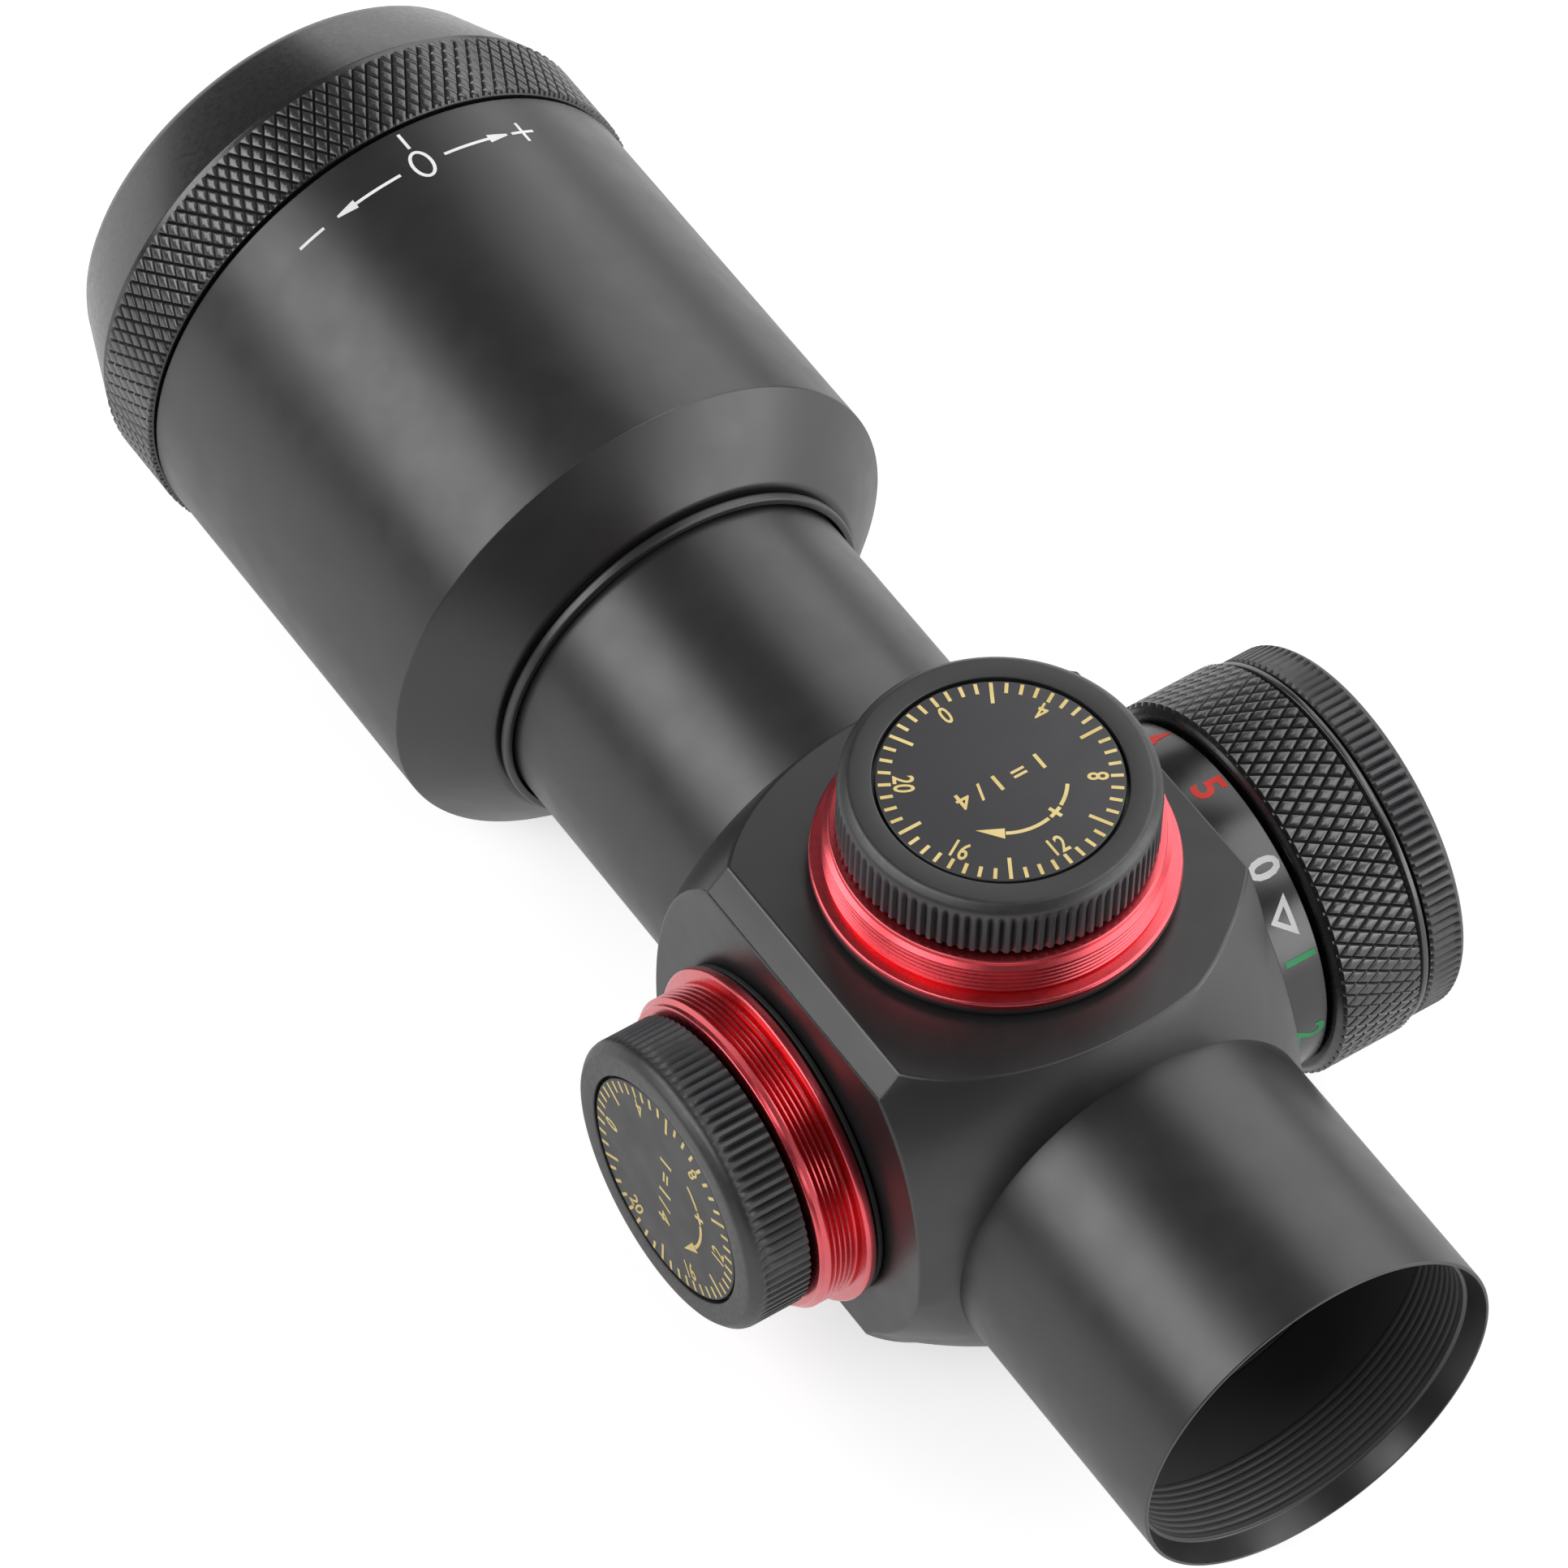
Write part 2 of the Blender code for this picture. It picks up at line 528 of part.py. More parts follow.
def diopter_ring():
    """Knurled band and rear taper, with a sleeve that runs in the eyepiece body and a seal at its end."""
    knurl_rear = DIOPTER_FRONT - DIOPTER_KNURL_LENGTH
    rows = DIOPTER_KNURL_ROWS
    knurl = [(DIOPTER_KNURL_R, DIOPTER_FRONT - DIOPTER_KNURL_LENGTH * i / rows) for i in range(rows + 1)]
    round_height = DIOPTER_REAR + DIOPTER_ROUND_R
    end = arc(DIOPTER_END_R - DIOPTER_ROUND_R, round_height, DIOPTER_ROUND_R, -QUARTER / 6, -QUARTER, 4)
    outline = [
        (CELL_BORE_R, SLEEVE_END),
        (SLEEVE_OUTER_R, SLEEVE_END),
        (SLEEVE_OUTER_R, DIOPTER_FRONT),
        *knurl,
        *end,
        (DIOPTER_LIP_R, DIOPTER_REAR),
        (DIOPTER_LIP_R, DIOPTER_LIP_FRONT),
        (CELL_BORE_R, DIOPTER_LIP_FRONT),
    ]
    bm = spun(outline, DIOPTER_KNURL_COLUMNS)
    flute(bm, DIOPTER_KNURL_R, knurl_rear, DIOPTER_FRONT, DIOPTER_KNURL_COLUMNS, DIOPTER_KNURL_DEPTH, rows)
    piece("diopter_ring", bm, OPTICAL, BLACK)
    seal_low = SLEEVE_END + SEAT
    seal_high = seal_low + DIOPTER_SEAL_THICK
    ring("diopter_seal", CELL_BORE_R, SLEEVE_OUTER_R, seal_low, seal_high, OPTICAL, RUBBER, RING_STEPS)


def ocular():
    """Lens cell with its field lens, spacer, eye lens and threaded ring, stacked from the front shoulder."""
    bore = CELL_R - CELL_WALL
    shoulder = CELL_FRONT - CELL_SHOULDER_LENGTH
    outline = [
        (CELL_SHOULDER_R, CELL_FRONT),
        (CELL_R, CELL_FRONT),
        (CELL_R, CELL_REAR),
        (bore, CELL_REAR),
        (bore, shoulder),
        (CELL_SHOULDER_R, shoulder),
    ]
    cell = turned("ocular_cell", outline, OPTICAL, BLACK, RING_STEPS)
    slot_half = KEY_PIN_R + RUN
    slot_reach = slot_half + DIOPTER_TRAVEL
    low = (CELL_R - KEY_SLOT_DEPTH, -slot_half, KEY_PIN_PLACE - slot_reach)
    high = (CELL_R + CUT_OVER, slot_half, KEY_PIN_PLACE + slot_reach)
    combine(cell, piece("key_slot", block(low, high), OPTICAL, None, DOWN), "DIFFERENCE")

    fit = bore - RUN
    edge = FIELD_LENS_EDGE
    field_rear = shoulder - SEAT - edge
    lens("field_lens", fit, field_rear, edge, FIELD_LENS_BULGE_REAR, FIELD_LENS_BULGE_FRONT, OPTICAL)
    ring_rear = CELL_REAR + CELL_RECESS
    ring_front = ring_rear + OCULAR_RING_LENGTH
    eye_rear = ring_front + LENS_GAP
    lens("eye_lens", fit, eye_rear, EYE_LENS_EDGE, EYE_LENS_BULGE_REAR, EYE_LENS_BULGE_FRONT, OPTICAL)
    spacer_rear = eye_rear + EYE_LENS_EDGE + LENS_GAP
    ring("ocular_spacer", fit - OCULAR_WALL, fit, spacer_rear, field_rear - LENS_GAP, OPTICAL, BLACK)
    ring("ocular_ring", fit - OCULAR_WALL, fit, ring_rear, ring_front, OPTICAL, BLACK, RING_STEPS)


def erector():
    """Erector tube with its lenses, reticle and lamp."""
    collar_front = GIMBAL_PLACE + ERECTOR_COLLAR_HALF
    collar_rear = GIMBAL_PLACE - ERECTOR_COLLAR_HALF
    lens_seat = ERECTOR_LENS_STOP
    reticle_seat = RETICLE_STOP
    rear_lens = lens_seat + SEAT
    spacer = rear_lens + ERECTOR_LENS_EDGE + LENS_GAP
    front_lens = spacer + ERECTOR_SPACER_LENGTH + LENS_GAP
    lock = front_lens + ERECTOR_LENS_EDGE + LENS_GAP
    outline = [
        (ERECTOR_BORE_R, ERECTOR_REAR),
        (ERECTOR_R, ERECTOR_REAR),
        (ERECTOR_R, collar_rear),
        (ERECTOR_COLLAR_R, collar_rear),
        (ERECTOR_COLLAR_R, collar_front),
        (ERECTOR_R, collar_front),
        (ERECTOR_R, ERECTOR_FRONT),
        (ERECTOR_BORE_R, ERECTOR_FRONT),
        (ERECTOR_BORE_R, lens_seat),
        (ERECTOR_SHOULDER_R, lens_seat),
        (ERECTOR_SHOULDER_R, lens_seat - ERECTOR_SHOULDER_LENGTH),
        (ERECTOR_BORE_R, lens_seat - ERECTOR_SHOULDER_LENGTH),
        (ERECTOR_BORE_R, reticle_seat + ERECTOR_SHOULDER_LENGTH),
        (ERECTOR_SHOULDER_R, reticle_seat + ERECTOR_SHOULDER_LENGTH),
        (ERECTOR_SHOULDER_R, reticle_seat),
        (ERECTOR_BORE_R, reticle_seat),
    ]
    tube = turned("erector_tube", outline, GIMBAL, BLACK)
    for name, turn in (("top_pin_hole", UP), ("bottom_pin_hole", DOWN)):
        hole = rod(GIMBAL_PIN_R + RUN, ERECTOR_BORE_R - RUN, ERECTOR_COLLAR_R + CUT_OVER)
        combine(tube, radial(name, hole, GIMBAL, None, GIMBAL_PLACE, turn), "DIFFERENCE")
    lamp_place = RETICLE_STOP - SEAT - RETICLE_THICK / 2
    hole = rod(LAMP_R + SEAT, ERECTOR_BORE_R - RUN, ERECTOR_R + CUT_OVER)
    combine(tube, radial("lamp_hole", hole, GIMBAL, None, lamp_place, LEFT), "DIFFERENCE")

    fit = ERECTOR_BORE_R - RUN
    spacer_bore = fit - ERECTOR_RING_WALL
    bulge = ERECTOR_LENS_BULGE
    lens("erector_lens_rear", fit, rear_lens, ERECTOR_LENS_EDGE, bulge, bulge, GIMBAL)
    ring("erector_spacer", spacer_bore, fit, spacer, spacer + ERECTOR_SPACER_LENGTH, GIMBAL, BLACK)
    lens("erector_lens_front", fit, front_lens, ERECTOR_LENS_EDGE, bulge, bulge, GIMBAL)
    ring("erector_ring", spacer_bore, fit, lock, lock + ERECTOR_RING_LENGTH, GIMBAL, BRASS)

    glass_front = RETICLE_STOP - SEAT
    glass_rear = glass_front - RETICLE_THICK
    turned("reticle_glass", rod(fit, glass_rear, glass_front), GIMBAL, GLASS)
    ring_front = glass_rear - SEAT
    ring("reticle_ring", spacer_bore, fit, ring_front - ERECTOR_RING_LENGTH, ring_front, GIMBAL, BRASS)
    lamp_start = fit + RUN
    lamp_end = lamp_start + LAMP_LENGTH
    radial("reticle_lamp", rod(LAMP_R, lamp_start, lamp_end), GIMBAL, LAMP_RED, lamp_place, LEFT)
    lamp_lead(lamp_place, lamp_end + RUN)


def lamp_lead(lamp_place, lamp_end):
    """Thin lead from the circuit board through the hub, then back along the tube to the lamp."""
    lane = (ERECTOR_R + TUBE_BORE_R) / 2 + SEAT
    start = SADDLE_LEFT + SLEEVE_LENGTH - RUN
    route = [
        (start, 0.0),
        (TUBE_BORE_R + MM, 0.0),
        (lane + 0.5 * MM, -0.6 * MM),
        (lane, -2.5 * MM),
        (lane, lamp_place / 2),
        (lane, lamp_place + 3.0 * MM),
        (lane - 0.3 * MM, lamp_place + 0.8 * MM),
        (lamp_end, lamp_place),
    ]
    curve = bpy.data.curves.new("lamp_lead", "CURVE")
    curve.dimensions = "3D"
    spline = curve.splines.new("POLY")
    spline.points.add(len(route) - 1)
    for point, (left, forward) in zip(spline.points, route):
        point.co = (-left, 0.0, forward, 1.0)
    curve.bevel_depth = LEAD_R
    curve.bevel_resolution = 2
    curve.use_fill_caps = True
    curve.materials.append(LEAD_SKIN)
    obj = bpy.data.objects.new("lamp_lead", curve)
    obj.parent = OPTICAL
    bpy.context.collection.objects.link(obj)


def gimbal():
    """Ring that tilts on the left and right pins and carries the erector on the top and bottom pins."""
    inner = ERECTOR_COLLAR_R + GIMBAL_SIDE_GAP
    outer = TUBE_BORE_R - GIMBAL_SIDE_GAP
    low = GIMBAL_PLACE - GIMBAL_RING_HALF
    high = GIMBAL_PLACE + GIMBAL_RING_HALF
    tilting = ring("gimbal_ring", inner, outer, low, high, GIMBAL, BRASS)
    sides = (("left", LEFT), ("right", RIGHT), ("top", UP), ("bottom", DOWN))
    for side, turn in sides:
        hole = rod(GIMBAL_PIN_R + RUN, inner - RUN, outer + CUT_OVER)
        combine(tilting, radial("gimbal_hole_" + side, hole, GIMBAL, None, GIMBAL_PLACE, turn), "DIFFERENCE")
        if side in ("left", "right"):
            span = (inner + RUN, TUBE_BORE_R + GIMBAL_PIN_GRIP)
            owner = OPTICAL
        else:
            span = (ERECTOR_COLLAR_R - GIMBAL_PIN_GRIP, outer - RUN)
            owner = GIMBAL
        radial("gimbal_pin_" + side, rod(GIMBAL_PIN_R, *span), owner, STEEL, GIMBAL_PLACE, turn)


def erector_spring():
    """Bowed leaf facing both plungers across the erector: ends bear on the tube, middle on the erector."""
    middle = ERECTOR_R + RUN
    ends = math.sqrt(TUBE_BORE_R**2 - SPRING_HALF_WIDTH**2) - SEAT - SPRING_THICK
    bm = bmesh.new()
    steps = [2.0 * i / SPRING_POINTS - 1.0 for i in range(SPRING_POINTS + 1)]
    bow = [(middle + (ends - middle) * t * t, SPRING_PLACE + SPRING_HALF_LENGTH * t) for t in steps]
    back = [(x + SPRING_THICK, z) for x, z in reversed(bow)]
    face = bm.faces.new([bm.verts.new((x, -SPRING_HALF_WIDTH, z)) for x, z in bow + back])
    grown = bmesh.ops.extrude_face_region(bm, geom=[face])["geom"]
    moved = [part for part in grown if isinstance(part, bmesh.types.BMVert)]
    bmesh.ops.translate(bm, vec=(0.0, 2 * SPRING_HALF_WIDTH, 0.0), verts=moved)
    piece("erector_spring", bm, OPTICAL, STEEL, DOWN_LEFT)


def turret(side, axis, flat):
    """One click turret. Heights run outwards from the optical axis, and flat is the face that carries it."""
    gasket_low = flat + SEAT
    base_low = gasket_low + GASKET_THICK + SEAT
    base_top = base_low + BASE_HEIGHT
    chamber_floor = base_low + BASE_FLOOR
    spigot_low = flat - SPIGOT_DEPTH
    spigot_r = WELL_R - RUN
    gasket_top = gasket_low + GASKET_THICK
    ring(side + "_gasket", spigot_r + RUN, GASKET_R, gasket_low, gasket_top, axis, RUBBER, RING_STEPS)

    flange_top = base_low + BASE_FLANGE_THICK
    waist = (base_top + flange_top) / 2
    base = [
        (SPINDLE_R + RUN, spigot_low),
        (spigot_r, spigot_low),
        (spigot_r, base_low),
        (BASE_FLANGE_R, base_low),
        (BASE_FLANGE_R, flange_top),
        ((BASE_FLANGE_R + BASE_WAIST_R) / 2, (flange_top + waist) / 2 - RUN),
        (BASE_WAIST_R, waist),
        (BASE_TOP_R, base_top),
        (CHAMBER_R, base_top),
        (CHAMBER_R, chamber_floor),
        (SPINDLE_R + RUN, chamber_floor),
    ]
    turned(side + "_base", base, axis, RED, RING_STEPS)

    shaft_low = spigot_low + RUN
    flange_low = chamber_floor + RUN
    flange_high = flange_low + SPINDLE_FLANGE_THICK
    cap_low = base_top + RUN
    neck_top = cap_low + SPINDLE_NECK_ENTRY
    plunger_top = flat + PLUNGER_TOP_OVER_FLAT
    plunger_bore_end = plunger_top + PLUNGER_BORE_SPARE
    screw_bore_end = plunger_bore_end + SPINDLE_WEB
    screw_bore_r = CAP_SCREW_R + RUN
    shaft = [
        (0.0, plunger_bore_end),
        (PLUNGER_R + RUN, plunger_bore_end),
        (PLUNGER_R + RUN, shaft_low),
        (SPINDLE_R, shaft_low),
        (SPINDLE_R, flange_low),
        (SPINDLE_FLANGE_R, flange_low),
        (SPINDLE_FLANGE_R, flange_high),
        (SPINDLE_NECK_R, flange_high),
        (SPINDLE_NECK_R, neck_top),
        (screw_bore_r, neck_top),
        (screw_bore_r, screw_bore_end),
        (0.0, screw_bore_end),
    ]
    spindle = turned(side + "_spindle", shaft, axis, BRASS)
    click_height = (flange_low + flange_high) / 2
    hole = rod(CLICK_BALL_R + SEAT, CLICK_HOLE_START, SPINDLE_FLANGE_R + CUT_OVER)
    combine(spindle, radial(side + "_click_hole", hole, axis, None, click_height, RIGHT), "DIFFERENCE")
    ball_place = CHAMBER_R - CLICK_GAP - CLICK_BALL_R
    ball = arc(0.0, ball_place, CLICK_BALL_R, -QUARTER, QUARTER, 6)
    ball[0] = (0.0, ball_place - CLICK_BALL_R)
    ball[-1] = (0.0, ball_place + CLICK_BALL_R)
    radial(side + "_click_ball", ball, axis, STEEL, click_height, RIGHT)
    spring_low = CLICK_HOLE_START + SEAT
    click_spring(side, axis, click_height, spring_low, ball_place - CLICK_BALL_R - SEAT)

    cap(side, axis, cap_low, neck_top, screw_bore_end)
    tip = ERECTOR_R + RUN
    head_top = tip + PLUNGER_HEAD
    plunger = [
        (0.0, tip),
        (PLUNGER_HEAD_R, tip),
        (PLUNGER_HEAD_R, head_top),
        (PLUNGER_R, head_top),
        (PLUNGER_R, plunger_top),
        (0.0, plunger_top),
    ]
    turned(side + "_plunger", plunger, axis, STEEL, PIN_STEPS)


def click_spring(side, axis, height, low, high):
    """Short coil behind the click ball, turned as a stack of coils."""
    waves = 2 * CLICK_SPRING_COILS
    radii = (CLICK_SPRING_R, CLICK_SPRING_R * 0.75)
    coils = [(radii[i % 2], low + (high - low) * i / waves) for i in range(waves + 1)]
    outline = [(0.0, low)] + coils + [(0.0, high)]
    radial(side + "_click_spring", outline, axis, STEEL, height, RIGHT)


def cap(side, axis, low, neck_top, screw_low):
    """Ribbed cap over the spindle's neck, with its screw under the dial plate."""
    top = low + CAP_HEIGHT
    rib_high = top - CAP_EDGE
    outer = [
        (0.0, low),
        (CAP_R, low),
        (CAP_R, rib_high),
        ((CAP_R + CAP_TOP_R) / 2 + SEAT, (rib_high + top) / 2 + SEAT),
        (CAP_TOP_R, top),
        (0.0, top),
    ]
    columns = 2 * CAP_RIBS
    bm = spun(outer, columns)
    flute(bm, CAP_R, low, rib_high, columns, CAP_RIB_DEPTH)
    shell = piece(side + "_cap", bm, axis, BLACK)

    pocket_r = SPINDLE_NECK_R + RUN
    pocket_top = neck_top + RUN
    recess_floor = top - DIAL_RECESS
    head_low = recess_floor - SEAT - CAP_SCREW_HEAD
    head_floor = head_low - SEAT
    centre = [
        (0.0, low - CUT_OVER),
        (pocket_r, low - CUT_OVER),
        (pocket_r, pocket_top),
        (CAP_SCREW_R + RUN, pocket_top),
        (CAP_SCREW_R + RUN, head_floor),
        (CAP_SCREW_HEAD_R + RUN, head_floor),
        (CAP_SCREW_HEAD_R + RUN, recess_floor),
        (DIAL_R + RUN, recess_floor),
        (DIAL_R + RUN, top + CUT_OVER),
        (0.0, top + CUT_OVER),
    ]
    combine(shell, turned(side + "_cap_centre", centre, axis, None, RING_STEPS), "DIFFERENCE")
    hollow_inner = pocket_r + CAP_BOSS_WALL
    hollow_outer = CAP_R - CAP_WALL
    hollow = ring(side + "_cap_hollow", hollow_inner, hollow_outer, low - CUT_OVER, pocket_top, axis, None)
    combine(shell, hollow, "DIFFERENCE")

    screw_start = screw_low + RUN
    screw = [
        (0.0, screw_start),
        (CAP_SCREW_R, screw_start),
        (CAP_SCREW_R, head_low),
        (CAP_SCREW_HEAD_R, head_low),
        (CAP_SCREW_HEAD_R, head_low + CAP_SCREW_HEAD),
        (0.0, head_low + CAP_SCREW_HEAD),
    ]
    turned(side + "_cap_screw", screw, axis, STEEL, PIN_STEPS)
    plate_low = recess_floor + SEAT
    turned(side + "_dial", rod(DIAL_R, plate_low, plate_low + DIAL_THICK), axis, DIAL_BLACK, RING_STEPS)


def illumination_knob():
    """Hub on the left flat, number sleeve and knurled grip that turn on it, coin cell and battery cap."""
    disc_low = SADDLE_LEFT + SEAT
    disc_top = disc_low + HUB_DISC_THICK
    flange_low = disc_top + RUN
    flange_top = flange_low + SLEEVE_FLANGE_THICK
    clip_low = flange_top + LENS_GAP
    clip_top = clip_low + CLIP_THICK
    sleeve_low = SADDLE_LEFT + RUN
    sleeve_top = sleeve_low + SLEEVE_LENGTH
    stem_top = sleeve_top - SEAT / 2
    groove_r = HUB_STEM_R - HUB_GROOVE_DEPTH
    stem_bore = HUB_STEM_R - HUB_STEM_WALL
    hub = [
        (HUB_LEAD_R, SADDLE_LEFT - HUB_SPIGOT_DEPTH),
        (HUB_SPIGOT_R, SADDLE_LEFT - HUB_SPIGOT_DEPTH),
        (HUB_SPIGOT_R, disc_low),
        (HUB_DISC_R, disc_low),
        (HUB_DISC_R, disc_top),
        (HUB_STEM_R, disc_top),
        (HUB_STEM_R, clip_low - SEAT),
        (groove_r, clip_low - SEAT),
        (groove_r, clip_top + SEAT),
        (HUB_STEM_R, clip_top + SEAT),
        (HUB_STEM_R, stem_top),
        (stem_bore, stem_top),
        (stem_bore, disc_top - SEAT),
        (HUB_LEAD_R, disc_top - SEAT),
    ]
    turned("illumination_hub", hub, KNOB, BLACK)
    clip = ring("hub_clip", groove_r + SEAT, CLIP_R, clip_low, clip_top, KNOB, STEEL)
    split_low = (0.0, -CLIP_SPLIT / 2, clip_low - CUT_OVER)
    split_high = (CLIP_R * 2, CLIP_SPLIT / 2, clip_top + CUT_OVER)
    combine(clip, piece("clip_split", block(split_low, split_high), KNOB, None), "DIFFERENCE")

    sleeve = [
        (HUB_DISC_R + RUN, sleeve_low),
        (SLEEVE_R, sleeve_low),
        (SLEEVE_R, sleeve_top),
        (SLEEVE_BORE_R, sleeve_top),
        (SLEEVE_BORE_R, flange_top),
        (HUB_STEM_R + RUN, flange_top),
        (HUB_STEM_R + RUN, flange_low),
        (HUB_DISC_R + RUN, flange_low),
    ]
    turned("number_sleeve", sleeve, KNOB, BLACK, RING_STEPS)

    board_low = stem_top + RUN
    board_top = board_low + BOARD_THICK
    turned("circuit_board", rod(BOARD_R, board_low, board_top), KNOB, BOARD_GREEN)
    grip_low = sleeve_top + RUN
    grip_top = grip_low + GRIP_LENGTH
    knurl_low = grip_low + GRIP_EDGE
    knurl_high = grip_top - GRIP_LIP_LENGTH
    rows = GRIP_KNURL_ROWS
    knurl = [(GRIP_R, knurl_low + (knurl_high - knurl_low) * i / rows) for i in range(rows + 1)]
    entry_low = grip_low - GRIP_ENTRY
    seal_bore_r = GRIP_BORE_R + BATTERY_SEAL_WIDTH + SEAT
    grip = [
        (GRIP_BORE_R, entry_low),
        (GRIP_ENTRY_R, entry_low),
        (GRIP_ENTRY_R, grip_low),
        (GRIP_R - GRIP_EDGE, grip_low),
        *knurl,
        (GRIP_LIP_R, knurl_high + SEAT),
        (GRIP_LIP_R, grip_top),
        (seal_bore_r, grip_top),
        (seal_bore_r, grip_top - BATTERY_SEAL_DEPTH),
        (GRIP_BORE_R, grip_top - BATTERY_SEAL_DEPTH),
    ]
    bm = spun(grip, GRIP_KNURL_COLUMNS)
    flute(bm, GRIP_R, knurl_low, knurl_high, GRIP_KNURL_COLUMNS, GRIP_KNURL_DEPTH, rows)
    piece("grip_ring", bm, KNOB, BLACK)

    cap_low = grip_top + RUN
    entry_end = cap_low - BATTERY_CAP_ENTRY
    battery_top = entry_end - SEAT
    battery_low = battery_top - CELL_BATTERY_THICK
    turned("coin_cell", rod(CELL_BATTERY_R, battery_low, battery_top), KNOB, STEEL, RING_STEPS)
    foot = board_top + SEAT
    tip = battery_low - SEAT
    contact = [
        (CONTACT_FOOT_R - CONTACT_THICK, foot),
        (CONTACT_FOOT_R, foot),
        (CONTACT_TIP_R, tip),
        (CONTACT_TIP_R / 2, tip),
        (CONTACT_TIP_R / 2, tip - CONTACT_THICK),
        (CONTACT_TIP_R - CONTACT_THICK, tip - CONTACT_THICK),
    ]
    turned("contact_spring", contact, KNOB, BRASS, PIN_STEPS)
    battery_cap(cap_low, entry_end)


def battery_cap(low, entry_end):
    """Coin-slotted cap with ribs round its edge and a sealed spigot that screws into the grip."""
    top = low + BATTERY_CAP_THICK
    spigot_r = GRIP_BORE_R - RUN
    rib_low = low + RUN
    rib_high = top - BATTERY_CAP_EDGE
    edge_r = BATTERY_CAP_R - BATTERY_CAP_EDGE
    corner = arc(edge_r, rib_high, BATTERY_CAP_EDGE, QUARTER / 3, QUARTER, 3)
    outer = [
        (0.0, entry_end),
        (spigot_r, entry_end),
        (spigot_r, low),
        (BATTERY_CAP_R - RUN, low),
        (BATTERY_CAP_R, rib_low),
        (BATTERY_CAP_R, rib_high),
        *corner,
        (0.0, top),
    ]
    columns = 2 * BATTERY_CAP_RIBS
    bm = spun(outer, columns)
    flute(bm, BATTERY_CAP_R, rib_low, rib_high, columns, BATTERY_CAP_RIB_DEPTH)
    shell = piece("battery_cap", bm, KNOB, BLACK)
    slot_low = (-COIN_SLOT_LENGTH / 2, -COIN_SLOT_WIDTH / 2, top - COIN_SLOT_DEPTH)
    slot_high = (COIN_SLOT_LENGTH / 2, COIN_SLOT_WIDTH / 2, top + CUT_OVER)
    combine(shell, piece("coin_slot", block(slot_low, slot_high), KNOB, None), "DIFFERENCE")
    seal_r = spigot_r + SEAT
    seal_outer = seal_r + BATTERY_SEAL_WIDTH
    seal_low = low - RUN - BATTERY_SEAL_DEPTH + SEAT
    ring("battery_cap_seal", seal_r, seal_outer, seal_low, low - SEAT, KNOB, RUBBER, RING_STEPS)


main_tube()
objective()
eyepiece_body()
diopter_ring()
ocular()
erector()
gimbal()
erector_spring()
turret("elevation", ELEVATION, SADDLE_TOP)
turret("windage", WINDAGE, SADDLE_RIGHT)
illumination_knob()
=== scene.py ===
import math

import bmesh
import bpy
from mathutils import Matrix, Vector


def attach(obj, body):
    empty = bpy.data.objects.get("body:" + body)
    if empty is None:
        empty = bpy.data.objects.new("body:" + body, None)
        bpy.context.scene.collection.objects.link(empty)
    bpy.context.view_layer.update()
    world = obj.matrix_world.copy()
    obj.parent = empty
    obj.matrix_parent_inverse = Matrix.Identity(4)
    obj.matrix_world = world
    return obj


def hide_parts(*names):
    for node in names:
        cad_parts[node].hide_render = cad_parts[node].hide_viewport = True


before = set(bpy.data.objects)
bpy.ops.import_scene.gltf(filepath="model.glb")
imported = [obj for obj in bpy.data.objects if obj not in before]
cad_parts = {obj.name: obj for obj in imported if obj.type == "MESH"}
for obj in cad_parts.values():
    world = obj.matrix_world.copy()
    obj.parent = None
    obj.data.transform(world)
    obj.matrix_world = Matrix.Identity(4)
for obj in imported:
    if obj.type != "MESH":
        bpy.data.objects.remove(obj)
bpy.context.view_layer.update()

# Main tube and saddle: one aluminium bar, turned to a 30 mm tube with a barrel-shaped middle. The seats for
# the turrets and the knob are milled flat on the barrel, the mouth is threaded for a filter, and the whole
# piece is bead-blasted and anodised black.

# Lengths are in millimetres. Turned pieces are drawn round local Z, and OPTICAL lays them along the tube.
MM = 0.001
QUARTER = math.pi / 2
FULL_TURN = 2 * math.pi
OPTICAL = Matrix.Rotation(-QUARTER, 4, "X")
SAME_POINT = 1e-7
ON_PLANE = 1e-6


def outline(*corners):
    """Points of a turned outline from (radius, height, rounding) corners."""
    points = []
    for i, (radius, height, rounding) in enumerate(corners):
        here = Vector((radius, height))
        if not rounding:
            points.append(here)
            continue
        before = Vector(corners[i - 1][:2]) - here
        after = Vector(corners[(i + 1) % len(corners)][:2]) - here
        start = here + before.normalized() * rounding
        end = here + after.normalized() * rounding
        for share in (0.0, 0.25, 0.5, 0.75, 1.0):
            points.append(start.lerp(here, share).lerp(here.lerp(end, share), share))
    return points


def lathe(points, steps, start=0.0, sweep=FULL_TURN):
    """Spins an outline round local Z, all the way or through a part of the turn."""
    bm = bmesh.new()
    verts = [bm.verts.new((radius * MM, 0.0, height * MM)) for radius, height in points]
    edges = [bm.edges.new(pair) for pair in zip(verts, verts[1:])]
    if points[0][0] > 0.0:
        edges.append(bm.edges.new((verts[-1], verts[0])))
    bmesh.ops.rotate(bm, cent=(0, 0, 0), matrix=Matrix.Rotation(start, 3, "Z"), verts=verts)
    bmesh.ops.spin(
        bm,
        geom=verts + edges,
        axis=(0, 0, 1),
        cent=(0, 0, 0),
        angle=sweep,
        steps=steps,
        use_merge=sweep == FULL_TURN,
    )
    bmesh.ops.remove_doubles(bm, verts=bm.verts, dist=SAME_POINT)
    bmesh.ops.recalc_face_normals(bm, faces=bm.faces)
    return bm


def gather(parts):
    """Several meshes as one."""
    whole = bmesh.new()
    for part in parts:
        mesh = bpy.data.meshes.new("part")
        part.to_mesh(mesh)
        part.free()
        whole.from_mesh(mesh)
        bpy.data.meshes.remove(mesh)
    return whole


